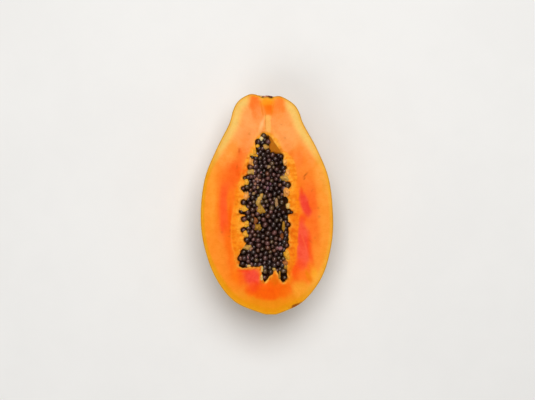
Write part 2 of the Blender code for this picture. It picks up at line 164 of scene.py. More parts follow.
# Soft patches of colour on the cut face: x, y, half its width, half its height, its turn in degrees,
# its colour, how strongly it shows and how crisp its edge is. Later ones lie over earlier ones.
PATCHES = (
    # The neck and the shoulders.
    (-16.3, 74.6, 9.1, 23.6, -12, "#FFA45A", 0.90, 4),
    (14.1, 74.6, 9.1, 23.6, 12, "#FFA458", 0.90, 4),
    (32.7, 51.0, 9.1, 12.7, 28, "#FCA856", 0.80, 3),
    (35.4, 41.9, 6.3, 10.9, 15, "#FF9642", 0.70, 3),
    (-18.1, 96.4, 6.3, 2.7, 18, "#F69E3E", 0.80, 3),
    (-11.2, 91.8, 5.1, 7.6, 6, "#FF7A28", 0.97, 5),
    (-9.4, 83.2, 4.2, 7.3, -6, "#FF8E44", 0.80, 4),
    (12.0, 90.9, 5.6, 6.9, 0, "#FE8430", 0.95, 5),
    (9.1, 80.0, 5.0, 7.3, 0, "#FF9648", 0.70, 3),
    # Under the stem's scar: the core of the stem and its channel.
    (0.5, 95.1, 6.3, 1.7, 0, "#FFBE5C", 0.95, 4),
    (0.4, 91.8, 5.6, 4.5, 0, "#FD8C12", 0.90, 4),
    (0.9, 86.4, 4.0, 6.5, 0, "#FC8016", 0.85, 4),
    (0.4, 92.6, 5.1, 2.7, 0, "#FFA41C", 0.85, 3),
    (1.6, 86.9, 3.8, 4.0, 0, "#FF7404", 0.85, 2),
    (-4.5, 86.0, 0.7, 6.7, 11, "#F07E1C", 0.75, 4),
    (5.3, 86.9, 0.6, 6.3, -12, "#F48814", 0.60, 4),
    (0.7, 78.6, 3.4, 2.2, 0, "#FFB860", 0.90, 4),
    (1.3, 71.0, 2.4, 7.7, 0, "#F9BA64", 0.90, 6),
    (-5.3, 70.4, 1.5, 7.6, -17, "#FFC07C", 0.85, 3),
    # Beside the hollow's point, and the upper left with its knot.
    (-9.6, 60.5, 1.9, 8.2, -26, "#FFAC5A", 0.80, 3),
    (9.1, 61.0, 1.6, 9.1, 30, "#FFB05A", 0.50, 3),
    (-20.0, 57.4, 4.5, 8.2, -12, "#FF8E42", 0.75, 3),
    (-25.2, 47.9, 1.9, 3.4, 0, "#FA4E1A", 0.95, 3),
    (-25.4, 43.8, 5.4, 7.3, -8, "#FF7628", 0.85, 3),
    (-32.7, 47.4, 6.3, 12.7, -26, "#FFA246", 0.80, 3),
    # The core at the left and the paler flesh outside it.
    (-29.5, 29.3, 5.4, 7.3, -14, "#F95E18", 0.95, 3),
    (-26.8, 29.7, 1.8, 5.9, 0, "#F65A08", 0.70, 4),
    (-33.6, 23.8, 9.1, 12.7, -20, "#FE701E", 0.75, 3),
    (-36.7, 14.7, 4.5, 9.1, -18, "#FF6C24", 0.90, 3),
    (-39.4, -0.7, 4.9, 15.4, -4, "#FF6028", 0.97, 4),
    (-33.6, 1.1, 2.7, 12.7, 0, "#F97C14", 0.85, 4),
    (-38.6, -17.9, 4.5, 10.0, 3, "#FF6028", 0.95, 4),
    (-33.4, -13.4, 2.0, 11.8, 0, "#F86000", 0.90, 4),
    (-35.2, -37.9, 3.3, 18.1, 5, "#FC700C", 0.80, 3),
    (-45.4, -8.8, 2.7, 30.8, -1, "#FF841C", 0.60, 3),
    (-50.8, -3.4, 4.2, 30.8, -2, "#FF9C32", 0.90, 4),
    (-45.4, -45.1, 6.8, 20.0, 22, "#FF922C", 0.90, 4),
    # The foot at the left.
    (-34.5, -71.4, 8.2, 10.9, 30, "#FF8E22", 0.70, 3),
    (-28.1, -66.0, 5.0, 7.3, 18, "#FF7A0C", 0.85, 3),
    # The core at the right and the paler flesh outside it.
    (32.7, 32.9, 6.8, 18.1, 8, "#FF8C32", 0.90, 4),
    (29.6, 42.9, 3.6, 7.3, 6, "#FF883C", 0.80, 3),
    (22.3, 44.7, 2.5, 4.1, 0, "#FA8024", 0.80, 3),
    (39.9, -0.7, 8.2, 21.8, 4, "#FF7A2A", 0.85, 4),
    (39.9, 2.9, 5.9, 10.0, 10, "#FF7026", 0.95, 3),
    (42.6, -23.4, 5.4, 12.7, 4, "#FF7422", 0.70, 3),
    (51.7, -1.6, 5.1, 39.9, 3, "#FE9A36", 0.85, 4),
    (47.2, 27.4, 4.5, 8.2, 0, "#FFA448", 0.75, 3),
    (52.6, 22.0, 3.6, 12.7, 12, "#F2AA48", 0.60, 3),
    # The red streaks at the right.
    (34.5, -0.2, 3.8, 10.7, 16, "#F14E38", 1.00, 6),
    (31.6, 12.0, 1.1, 3.6, 10, "#F6541A", 0.80, 3),
    (32.1, -13.4, 3.3, 4.0, 0, "#FC5E0C", 0.90, 3),
    (33.2, -37.0, 5.8, 20.0, 2, "#F75C40", 1.00, 7),
    (39.9, -40.6, 2.7, 13.6, 6, "#FF521E", 0.95, 4),
    (44.1, -35.1, 3.3, 8.2, 4, "#FC7E2C", 0.70, 3),
    (38.6, -56.9, 3.3, 4.5, 0, "#FF6C1C", 0.80, 3),
    (33.6, -33.8, 0.6, 7.3, 17, "#FF7446", 0.50, 3),
    (30.8, -56.0, 4.5, 5.4, 0, "#FC5830", 0.90, 4),
    # The lower right.
    (26.3, -60.5, 4.0, 6.7, 0, "#FF5814", 0.92, 3),
    (32.7, -65.1, 7.3, 6.3, 0, "#FF781E", 0.85, 3),
    (44.4, -45.1, 4.0, 11.8, 10, "#FE9230", 0.70, 3),
    (31.2, -77.2, 8.3, 6.9, -20, "#FAA232", 0.95, 5),
    (38.6, -66.9, 1.8, 8.2, 26, "#F4840C", 0.85, 4),
    (44.4, -65.1, 3.3, 8.2, 26, "#FAAC2E", 0.85, 3),
    # The foot.
    (0.9, -77.8, 19.0, 8.5, 0, "#FC6806", 0.97, 8),
    (7.3, -67.8, 4.0, 5.4, 0, "#E67006", 0.85, 3),
    (0.0, -80.5, 6.3, 5.9, 0, "#FA6006", 0.70, 3),
    (15.4, -77.8, 4.5, 7.3, 0, "#F66E06", 0.60, 4),
    # The red heart at the foot.
    (-21.4, -65.1, 5.4, 6.9, 10, "#FC6412", 0.80, 3),
    (-13.2, -65.8, 7.3, 8.2, 24, "#F4503A", 1.00, 5),
    (-20.0, -60.0, 5.0, 1.6, -4, "#F63E16", 0.70, 3),
    (-11.8, -75.1, 5.4, 4.5, 0, "#FA561A", 0.85, 3),
    (-6.0, -64.2, 1.3, 6.3, 0, "#F67422", 0.80, 3),
)
# How much larger the patches of the cut face are laid than they are listed.
PATCH_GROWTH = 1.12
# Patches of the band of loose pulp round the hollow, in the same terms.
LOOSE_PULP_PATCHES = (
    (-19.5, 29.5, 3.2, 6.8, -14, "#F07C0E", 0.85, 4),
    # Darker under the ledge of seeds: partly browner pulp, partly painted shadow of the seeds above it.
    (-16.0, -58.8, 11.0, 2.0, 0, "#DC7410", 0.8, 4),
    (-27.4, -52.0, 2.4, 7.5, 0, "#DC780E", 0.75, 4),
    (-6.0, -65.0, 2.5, 6.0, 0, "#DC7420", 0.7, 3),
    (-26.0, -40.0, 4.0, 14.0, 0, "#F48C10", 0.5, 3),
    (23.5, -20.0, 4.5, 16.0, 0, "#EE7A08", 0.7, 4),
    (22.5, -44.0, 4.0, 9.0, 0, "#EE7E10", 0.7, 4),
)
# Small brown marks on the cut face: x, y, half-length, half-width, turn in degrees and strength.
MARKS = (
    (34.8, 26.6, 2.6, 0.7, 48, 0.8), (34.0, 23.4, 1.3, 0.7, 70, 0.75), (-16.2, 63.8, 1.2, 1.1, 0, 0.3),
    (16.4, 60.2, 0.9, 0.8, 0, 0.35), (12.8, 72.4, 0.8, 0.7, 0, 0.3), (41.0, 12.8, 1.6, 0.4, 60, 0.35),
    (47.4, -11.2, 1.3, 1.1, 0, 0.35), (46.6, -3.4, 1.1, 0.8, 0, 0.3), (39.6, -33.4, 2.2, 0.7, -50, 0.3),
    (43.6, -30.4, 0.8, 0.8, 0, 0.25), (-41.0, -25.4, 1.0, 0.9, 0, 0.3),
    (-34.2, -29.0, 1.0, 0.8, 0, 0.3), (27.0, -88.4, 0.8, 0.8, 0, 0.3), (-25.2, 48.4, 0.8, 2.1, 0, 0.45),
    (-27.2, 34.0, 0.7, 1.8, -10, 0.4), (-33.6, -24.0, 0.6, 1.5, 0, 0.35),
)
# The brown scar on the skin, in the same terms as a patch, and the skin's colour where it was cut.
SKIN_SCAR = (26.6, -92.8, 6.2, 3.4, 25)
RIND_LINE = "#C8921A"
# The cut face's ground: shares of the way from the skin to the rim, and their colours.
GROUND = {0.0: "#F8A02A", 0.22: "#FE9A34", 0.45: "#FE8A2E", 0.7: "#FC7A20", 0.95: "#F88C1C"}
# Colours that are laid over the ground, and those of the hollow's wall, the bed and the cork.
NECK, FOOT = "#FEA45A", "#EE920A"
EDGE_AT_NECK, EDGE_AT_FOOT, EDGE_LEFT, EDGE_RIGHT = "#F3CA6E", "#EA980C", "#E69A08", "#F6AC40"
NEXT_TO_SKIN, PULP_AT_RIM, PULP_ABOVE, PULP_BELOW = "#EEA426", "#FAB43C", "#FCA436", "#F6880A"
# The brown laid round each edge seed is partly its brownish gel and partly painted shade at its pocket's
# edge.
FLECK, PULP_BORDER, LIP, ROUND_SEEDS_GEL_AND_SHADE = "#B86010", "#FFB03E", "#F6BC5C", "#B45A10"
MARK, CHANNEL_LINE, SCARRED_SKIN = "#B4500C", "#DC8E34", "#8C4414"
# The wall's last two colours are painted shade: near black beside the seeds, and darker deep down.
WALL, WALL_MOTTLE, WALL_AT_POINT, WALL_SHADE_BY_SEEDS, WALL_DEEP_SHADE = (
    "#C27218", "#BE6E16", "#EC9C24", "#2C1206", "#8A4208"
)
# The bed's two browns are painted shade, for the dark gaps between the seeds; the cork's are its own.
SHADED_BED, SHADED_BED_MOTTLE, CORK, CORK_KNOB = "#3C1C0A", "#1C0C06", "#7E3C1C", "#D28E66"
# How much the dark grains of the loose pulp take off red, green and blue.
GRAIN_DARKENING = (0.12, 0.42, 0.84)

# Stretches along Y, in metres, over which the painting changes: into the neck and the foot, and
# into the hollow's point, where the pulp, the brown and painted shade round its edge seeds, and its lip
# fade.
INTO_NECK = (0.024, 0.062)
INTO_FOOT = (-0.068, -0.090)
POINT_PULP = (0.045, 0.054)
POINT_SEEDS = (0.044, 0.054)
POINT_LIP = (0.043, 0.050)

# The stem's corky scar, in millimetres: its middle, half its lengths and how deep its middle lies.
STEM_SCAR_AT = (0.4, 97.0)
STEM_SCAR_HALF = (5.0, 1.7, 4.2)
STEM_SCAR_DEPTH = 0.3

# Length, width and thickness of a seed, as shares of its length, and in how many steps the seeds
# push each other apart.
SEED_SHAPE = (1.0, 0.89, 0.83)
PUSH_STEPS = 16
# The bed of pulp: its top's depth under the seeds' middles as a share of a seed's length, and its
# clearance from the hollow's wall and floor.
BED_UNDER_SEEDS = 0.42
BED_CLEARANCE = 1.5 * MM

# The stage in metres: half the table's width, the place over which the camera hangs, and the place
# and size of each light.
TABLE_HALF = 2.5
CAMERA_OVER = (0.00045, 0.0039)
KEY_LIGHT = ((0.10, 0.62, 1.55), 1.15)
FILL_LIGHT = ((-0.50, -0.75, 1.35), 0.9)


# Numbers and curves


def linear(colour):
    """The linear red, green and blue of an sRGB colour written as '#RRGGBB'."""
    parts = np.array([int(colour[i : i + 2], 16) for i in (1, 3, 5)]) / 255
    return np.where(parts <= 0.04045, parts / 12.92, ((parts + 0.055) / 1.055) ** 2.4)


def smooth_step(low, high, value):
    """0 below low, 1 above high, and 3t^2 - 2t^3 between them."""
    share = np.clip((value - low) / (high - low), 0, 1)
    return share * share * (3 - 2 * share)


def bell(value, width, power=2):
    """A bell curve exp(-(value / width)^power)."""
    return np.exp(-((value / width) ** power))


def mixed(colour, other, share):
    """The linear mix of two colours, all the first where share is 1."""
    return linear(colour) * share + linear(other) * (1 - share)


def at_height(xy, height=0.0):
    """Places in the plane as points in space, at one height or at one each."""
    return np.column_stack([xy, np.broadcast_to(height, len(xy))])


def smooth_curve(points, count, closed=False):
    """A Catmull-Rom curve through the points, at evenly spaced shares of its spans."""
    points = np.array(points)
    if closed:
        padded = np.vstack([points[-1], points, points[:2]])
    else:
        mirror = np.array([1.0, -1.0, 1.0])
        padded = np.vstack([points[1] * mirror, points, points[-2] * mirror])
    spans = len(padded) - 3
    at = np.linspace(0, spans, count, endpoint=not closed)
    span = np.minimum(at.astype(int), spans - 1)
    t = (at - span)[:, None]
    before, start, end, after = (padded[span + k] for k in range(4))
    return 0.5 * (
        2 * start
        + (end - before) * t
        + (2 * before - 5 * start + 4 * end - after) * t**2
        + (3 * start - before - 3 * end + after) * t**3
    )


def evenly_spaced(curve, count):
    """Resamples a curve to count points at equal distances along its first two columns."""
    steps = np.linalg.norm(np.diff(curve[:, :2], axis=0), axis=1)
    along = np.concatenate([[0], np.cumsum(steps)])
    at = np.linspace(0, along[-1], count)
    return np.column_stack([np.interp(at, along, column) for column in curve.T])


def lumps(points, size, seed):
    """Smooth lumps from -1 to 1: random values on a lattice of that size, blended between its corners."""
    table = np.random.default_rng(seed).uniform(-1, 1, (32, 32, 32))
    cell = np.floor(points / size).astype(int)
    t = points / size - cell
    t = t * t * (3 - 2 * t)
    total = 0
    for corner in np.ndindex(2, 2, 2):
        x, y, z = ((cell + corner) % 32).T
        weight = np.prod(np.where(np.array(corner), t, 1 - t), axis=1)
        total = total + weight * table[x, y, z]
    return total


def rough(points, *layers):
    """Lumps of several sizes added up: each layer is its amount, its size in millimetres and a seed."""
    return sum(amount * lumps(points, size * MM, seed) for amount, size, seed in layers)


def distance_to(points, line):
    """Each point's distance to the nearest point of a densely sampled line."""
    found = [
        np.sqrt(((block[:, None] - line[None]) ** 2).sum(axis=2).min(axis=1))
        for block in np.array_split(points, max(1, len(points) // 4000))
    ]
    return np.concatenate(found)


def in_ellipse(xy, x, y, half_x, half_y, turn):
    """How far out points lie in a turned ellipse: 0 in its middle and 1 on its edge."""
    angle = math.radians(turn)
    out = xy - np.array([x, y]) * MM
    u = (out[:, 0] * math.cos(angle) + out[:, 1] * math.sin(angle)) / (half_x * MM)
    v = (out[:, 1] * math.cos(angle) - out[:, 0] * math.sin(angle)) / (half_y * MM)
    return np.hypot(u, v)


# The half's shapes


def outline_profile(stations):
    """Half-width, place along Y and sideways shift at stations evenly spaced along the outline."""
    share, radius, shift = smooth_curve(OUTLINE, 1200).T
    neck = smooth_step(SHOULDER_FROM, 1, share)
    curve = np.column_stack([radius * HALF_WIDTH, (share - MIDDLE_SHARE) * LENGTH, shift, neck])
    curve[[0, -1], 0] = 0
    return evenly_spaced(curve, stations)


def rim_line(count=2400):
    """The rim as a closed curve in metres, with teeth of pulp and round pockets for the edge seeds.

    Each point moves along its ray from the hollow's middle: out and in by small lumps, in by a bell
    where a lobe of pulp stands, and out to the far side of an edge seed's pocket, where the ray
    crosses that pocket's circle at its distance along the ray plus sqrt(radius^2 - aside^2).
    """
    line = smooth_curve(RIM, count, closed=True) * MM
    out = line - MIDDLE
    reach = np.linalg.norm(out, axis=1)
    ray = out / reach[:, None]
    from_smooth = np.hypot(*(line - np.array(SMOOTH_RIM) * MM).T)
    calm = smooth_step(6 * MM, 11 * MM, from_smooth)
    ragged = rough(at_height(line), (0.55, 2.0, 5), (0.5, 4.3, 6))
    tooth = np.zeros(count)
    for x, y, half_x, half_y, _ in LOBES:
        q = in_ellipse(line, x, y, half_x + 1.2, half_y + 0.7, 0)
        tooth = np.maximum(tooth, 1.7 * bell(q, 1, 3))
    reach = reach + (ragged - tooth) * calm * MM
    for x, y, size in EDGE_SEEDS:
        seed = np.array([x, y]) * MM - MIDDLE
        along = ray @ seed
        aside = np.abs(ray[:, 0] * seed[1] - ray[:, 1] * seed[0])
        radius = (size / 2 + 0.15) * MM
        pocket = along + np.sqrt(np.clip(radius**2 - aside**2, 0, None))
        meets = (aside < radius) & (along > 0)
        reach = np.where(meets, np.maximum(reach, pocket), reach)
    return MIDDLE + ray * reach[:, None]


def rim_reach(directions, rim):
    """The rim's distance from the hollow's middle along each direction, read off by angle."""
    out = rim - MIDDLE
    angles = np.arctan2(out[:, 1], out[:, 0])
    radii = np.linalg.norm(out, axis=1)
    wanted = np.arctan2(directions[:, 1], directions[:, 0])
    return np.interp(wanted, angles, radii, period=2 * math.pi)


def hollow_reach(xy):
    """How far out points lie, from 0 in the hollow's middle to 1 at its plain rim."""
    out = xy - MIDDLE
    plain = smooth_curve(RIM, 280, closed=True) * MM
    return np.linalg.norm(out, axis=1) / rim_reach(out, plain)


def seeds_depth(xy, settings):
    """Depth of the seeds' middles under the cut face: a trough, deepest at its own place along Y."""
    along = bell(xy[:, 1] - settings.trough_at, settings.trough_length)
    across = np.clip(1 - hollow_reach(xy) ** 2, 0, None)
    return settings.edge_depth + (settings.trough_depth - settings.edge_depth) * along * across


def wall_depth(share, depth):
    """The hollow's depth at a share of the way out: depth * (1 - share^n)^(1/n), n its steepness."""
    n = WALL_STEEPNESS
    return depth * np.clip(1 - share**n, 0, None) ** (1 / n)


# Meshes


def grid_faces(rows, columns, first=0, closed=True):
    """Quads between the rows of a grid of points, each row joined round to its start if closed."""
    last = columns if closed else columns - 1
    i, j = np.meshgrid(np.arange(rows - 1), np.arange(last), indexing="ij")
    across = (j + 1) % columns
    quads = [i * columns + j, i * columns + across, (i + 1) * columns + across, (i + 1) * columns + j]
    return np.stack(quads, axis=-1).reshape(-1, 4) + first


def fan_faces(tip, ring, closed=True):
    """Triangles from one point to a ring of points."""
    nexts = np.roll(ring, -1)
    fan = np.column_stack([np.full(len(ring), tip), nexts, ring])
    return fan if closed else fan[:-1]


def capped_faces(rows, around):
    """A grid of rings with a fan at each end, to the two points that come after the rings."""
    last = np.arange((rows - 1) * around, rows * around)
    top = fan_faces(rows * around, np.arange(around))
    bottom = fan_faces(rows * around + 1, last)[:, ::-1]
    return [grid_faces(rows, around), np.vstack([top, bottom])]


def circle(count):
    """Directions evenly spaced round a circle."""
    turn = np.linspace(0, 2 * math.pi, count, endpoint=False)
    return np.column_stack([np.cos(turn), np.sin(turn)])


def signed_volume(points, faces):
    """The volume within closed faces, negative if they point inwards: a sum of a . (b x c) / 6."""
    total = 0.0
    for group in faces:
        for k in range(1, group.shape[1] - 1):
            a, b, c = points[group[:, 0]], points[group[:, k]], points[group[:, k + 1]]
            total += (a * np.cross(b, c)).sum() / 6
    return total


def is_closed(faces):
    """Whether every edge of the faces is walked exactly once each way."""
    start = np.concatenate([group.ravel() for group in faces]).astype(np.int64)
    end = np.concatenate([np.roll(group, -1, axis=1).ravel() for group in faces]).astype(np.int64)
    size = start.max() + 1
    there = np.sort(start * size + end)
    back = np.sort(end * size + start)
    return bool((there == back).all() and (np.diff(there) > 0).all())


def new_object(name, data):
    """A new object in the scene."""
    made = bpy.data.objects.new(name, data)
    bpy.context.scene.collection.objects.link(made)
    return made


def piece_from(name, points, faces, materials, node):
    """A piece of the object from points and groups of faces, turned outwards and shaded smooth."""
    if not is_closed(faces):
        raise RuntimeError(f"{name} isn't one closed surface")
    if signed_volume(points, faces) < 0:
        faces = [group[:, ::-1] for group in faces]
    mesh = bpy.data.meshes.new(name)
    sizes = np.concatenate([np.full(len(group), group.shape[1]) for group in faces])
    corners = np.concatenate([group.ravel() for group in faces])
    mesh.vertices.add(len(points))
    mesh.vertices.foreach_set("co", points.ravel())
    mesh.loops.add(len(corners))
    mesh.loops.foreach_set("vertex_index", corners)
    mesh.polygons.add(len(sizes))
    mesh.polygons.foreach_set("loop_start", np.concatenate([[0], np.cumsum(sizes)[:-1]]))
    mesh.update(calc_edges=True)
    if mesh.validate():
        raise RuntimeError(f"{name} has faults in its mesh")
    mesh.shade_smooth()
    for material in materials:
        mesh.materials.append(material)
    piece = new_object(name, mesh)
    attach(piece, "root")
    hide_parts(node)
    return piece


def give_colour(piece, name, colours):
    """Stores one linear colour a point, for a material to read."""
    data = np.column_stack([colours, np.ones(len(colours))])
    layer = piece.data.color_attributes.new(name, "FLOAT_COLOR", "POINT")
    layer.data.foreach_set("color", data.ravel())


def give_numbers(piece, name, values):
    """Stores one number or one vector a point."""
    values = np.asarray(values, dtype=np.float32)
    kind, field = ("FLOAT", "value") if values.ndim == 1 else ("FLOAT_VECTOR", "vector")
    piece.data.attributes.new(name, kind, "POINT").data.foreach_set(field, values.ravel())


def sphere_grid(around, rows):
    """A unit sphere: a ring of points at each of the rows between its poles, then the two poles."""
    down = np.linspace(0, math.pi, rows + 2)[1:-1]
    rings = [at_height(circle(around) * math.sin(a), math.cos(a)) for a in down]
    return np.vstack([*rings, [0, 0, 1], [0, 0, -1]]), capped_faces(rows, around)


def turned(count, draw):
    """Random turns as an array of rotation matrices, each from a random unit quaternion."""
    w, x, y, z = (q := draw.normal(size=(4, count))) / np.linalg.norm(q, axis=0)
    return np.array(
        [
            [1 - 2 * (y * y + z * z), 2 * (x * y - z * w), 2 * (x * z + y * w)],
            [2 * (x * y + z * w), 1 - 2 * (x * x + z * z), 2 * (y * z - x * w)],
            [2 * (x * z - y * w), 2 * (y * z + x * w), 1 - 2 * (x * x + y * y)],
        ]
    ).transpose(2, 0, 1)


def many_spheres(around, rows, halves, turns, middles, *layers):
    """Copies of one sphere grid, each stretched by its halves, turned, and moved to its middle.

    The layers of lumps then move each point out from its sphere's middle or in. Besides the points
    and faces, the middle that each point belongs to and the number of points a sphere come back.
    """
    ball, faces = sphere_grid(around, rows)
    points = np.einsum("nij,nvj->nvi", turns, ball[None] * halves[:, None]) + middles[:, None]
    points = points.reshape(-1, 3)
    centres = np.repeat(middles, len(ball), axis=0)
    points = centres + (points - centres) * (1 + rough(points, *layers))[:, None]
    starts = np.arange(len(middles)) * len(ball)
    groups = [(group[None] + starts[:, None, None]).reshape(-1, group.shape[1]) for group in faces]
    return points, groups, centres, len(ball)


# The flesh


def skin_grid(stations, turns):
    """The skin as a grid of points, and the blossom tip and the pit, which close its ends.

    It is the outline turned through half a circle about the Y axis, with ribs: the half-width is
    less by a share rib * sin(RIBS * angle). Low lumps then stretch it a little, but not at the cut.
    """
    half_width, y, shift, neck = outline_profile(stations).T
    angle = -np.linspace(0, math.pi, turns)
    i, a = np.meshgrid(np.arange(1, stations - 1), angle, indexing="ij")
    rib = RIB_HEIGHT + (NECK_RIB_HEIGHT - RIB_HEIGHT) * neck[i]
    ribbed = half_width[i] * (1 - rib * np.sin(RIBS * a))
    x = ribbed * np.cos(a)
    down = ribbed / HALF_WIDTH * (CUT + FLAT_CUT) * -np.sin(a)
    skin = np.stack([x + shift[i], y[i] - SHOULDER_TILT * neck[i] * x, CUT - down], axis=-1)
    inner = skin[:, 1:-1].reshape(-1, 3)
    dents = rough(inner, (0.25, 9, 1), (0.06, 3, 2))
    fade = np.sin(np.linspace(0, math.pi, turns)[1:-1])[None, :, None]
    skin[:, 1:-1] *= 1 + (dents * 0.012).reshape(stations - 2, turns - 2, 1) * fade * (1, 0.2, 1)
    skin[..., 2] = np.clip(skin[..., 2], 0, CUT)
    return skin, np.array([[shift[0], y[0], CUT], [shift[-1], y[-1], CUT]])


def wall_rings_from(rim, rim_loop, rings, settings):
    """Rings of the hollow's wall, from the rim down: shares of the way out fall as a cosine.

    At the hollow's point the wall is no deeper than a slope of 0.42 from the rim. Elsewhere small
    lumps narrow it.
    """
    share = np.cos(np.linspace(0, math.pi / 2, rings + 1)[1:-1] ** 0.9)
    share = np.clip(share, 0.03, 0.9995)
    wall = (MIDDLE + (rim_loop[None] - MIDDLE) * share[:, None, None]).reshape(-1, 2)
    down = settings.lip + wall_depth(share, settings.hollow_depth - settings.lip)
    down = np.repeat(down, len(rim_loop))
    slope = settings.lip + 0.42 * distance_to(wall, rim)
    near_point = smooth_step(0.0425, 0.0475, wall[:, 1])
    down += (np.minimum(down, slope) - down) * near_point
    wall = at_height(wall, CUT - down)
    bumps = rough(wall, (0.5, 4.5, 8), (0.2, 1.8, 9))
    wall[:, :2] += (MIDDLE - wall[:, :2]) * (np.abs(bumps) * 0.03 * (1 - near_point))[:, None]
    return wall


def flesh_points(settings):
    """The half's closed surface as points and groups of faces, and what the painter needs to know.

    The cut face blends from the skin's edge to the rim in rings, closest together at the skin and
    just past halfway. The wall runs on from the rim down to the hollow's floor.
    """
    stations, turns, cut_rings, wall_rings = 361, 73, 64, 22
    skin, ends = skin_grid(stations, turns)
    points = [ends, skin.reshape(-1, 3)]
    rows = np.arange(stations - 2)[:, None] * turns + 2
    skin_faces = [
        grid_faces(stations - 2, turns, 2, closed=False),
        fan_faces(0, 2 + np.arange(turns), closed=False),
        fan_faces(1, rows[-1, 0] + np.arange(turns), closed=False)[:, ::-1],
    ]
    right, left = rows[:, 0], rows[:, 0] + turns - 1
    loop = np.concatenate([[1], right[::-1], [0], left])
    base = np.vstack(points)
    edge = base[loop][:, :2]

    rim = rim_line()
    out = edge - MIDDLE
    rim_loop = MIDDLE + out * (rim_reach(out, rim) / np.linalg.norm(out, axis=1))[:, None]
    t = np.linspace(0, 1, cut_rings + 1)[1:]
    share = t + 0.07 * np.sin(2 * math.pi * t) * np.where(t < 0.5, -1, 1) + 0.06 * t * (1 - t)
    share[-1] = 1
    face = edge[None] * (1 - share)[:, None, None] + rim_loop[None] * share[:, None, None]
    flat = face.reshape(-1, 2)
    to_rim = distance_to(flat, rim)
    to_skin = distance_to(flat, edge)
    points.append(at_height(flat, cut_height(flat, to_rim, to_skin, settings)))

    points.append(wall_rings_from(rim, rim_loop, wall_rings, settings))
    points.append([[*MIDDLE, CUT - settings.hollow_depth]])
    bands = np.cumsum([0, *(len(part) for part in points)])

    points = np.vstack(points)
    count = len(loop)
    start = len(base)
    ring = np.arange(count)
    first = np.column_stack([loop, np.roll(loop, -1), start + np.roll(ring, -1), start + ring])
    inner_faces = [
        first[:, ::-1],
        grid_faces(cut_rings + wall_rings - 1, count, start)[:, ::-1],
        fan_faces(len(points) - 1, len(points) - 1 - count + ring),
    ]
    return points, skin_faces, inner_faces, bands, to_rim, to_skin


def cut_height(xy, to_rim, to_skin, settings):
    """The cut face's height: level, rounded over at the rim, lumpy in the fringe, faintly wavy.

    The rounding is a quarter circle of radius lip. The lumps fade out over the fringe's width.
    """
    flat = at_height(xy)
    lip = settings.lip
    near = np.clip(lip - to_rim, 0, lip)
    rounding = lip - np.sqrt(np.clip(lip * lip - near * near, 0, None))
    fringe = bell(to_rim, settings.fringe)
    bumps = rough(flat, (0.42, 2.6, 3), (0.18, 1.2, 4)) - 0.30
    knife = lumps(flat * (0.35, 1, 1), 7 * MM, 7) * 0.05 * smooth_step(0, 3 * MM, to_skin)
    return CUT - rounding + (fringe * bumps + knife - 0.06 * smooth_step(0, 1 * MM, to_skin)) * MM


def lay(ground, colour, weight):
    """Lays a colour over others where they are stored, as strongly as each point's weight says."""
    shade = linear(colour) if isinstance(colour, str) else colour
    ground += (shade - ground) * weight[:, None]


def lay_patch(ground, patch, xy, grown=1, warp=1, strength=1):
    """Lays a soft patch of colour, as strong as its own strength times exp(-q^n).

    q is how far out a point lies in the patch, warped, and n is the patch's crispness.
    """
    x, y, half_x, half_y, turn, colour, own_strength, crispness = patch
    q = in_ellipse(xy, x, y, half_x * grown, half_y * grown, turn) * warp
    lay(ground, colour, own_strength * bell(q, 1, crispness) * strength)


def paint_cut_face(xy, to_rim, to_skin, settings):
    """Linear colours of the cut face: the ground and its patches, and then what lies over them.

    From skin to rim the ground runs through the colours of GROUND. It is paler at the neck and ochre
    at the foot. The band under the skin, the loose pulp and the marks come after the patches.
    """
    flat = at_height(xy)
    wander = lumps(flat, 6 * MM, 11) * 0.16 + lumps(flat * (1, 0.4, 1), 2.4 * MM, 12) * 0.10
    share = to_skin / (to_skin + to_rim + 1e-6) + wander * 0.4
    shades = np.array([linear(colour) for colour in GROUND.values()])
    ground = np.column_stack([np.interp(share, list(GROUND), shade) for shade in shades.T])
    neck = smooth_step(*INTO_NECK, xy[:, 1])
    foot = smooth_step(*INTO_FOOT, xy[:, 1])
    lay(ground, NECK, neck * 0.75)
    lay(ground, FOOT, foot * 0.8)
    for patch in PATCHES:
        lay_patch(ground, patch, xy, PATCH_GROWTH, 1 + wander * 0.9, settings.patch_strength)
    paint_under_skin(ground, xy, to_skin, neck[:, None], foot[:, None])
    paint_loose_pulp(ground, xy, to_rim)
    paint_marks(ground, xy, to_skin)
    return np.clip(ground, 0, 1)


def paint_under_skin(ground, xy, to_skin, neck, foot):
    """Lays the band under the skin: wide and pale at the neck, ochre at the left and the foot."""
    x, y = xy.T
    width = (3.4 + 5.4 * smooth_step(0.018, 0.070, y) + 2.4 * smooth_step(-0.040, -0.075, y)) * MM
    aside = np.maximum(smooth_step(0.013, 0.020, np.abs(x)), smooth_step(0.086, 0.080, y))
    left = smooth_step(0.01, -0.01, x)[:, None]
    pale = linear(EDGE_AT_NECK) * neck + (1 - neck) * mixed(EDGE_LEFT, EDGE_RIGHT, left)
    pale = pale * (1 - foot) + linear(EDGE_AT_FOOT) * foot
    lay(ground, pale, bell(to_skin, width, 5) * aside * 0.92)
    lay(ground, NEXT_TO_SKIN, smooth_step(3.6 * MM, 1.0 * MM, to_skin) * 0.5)


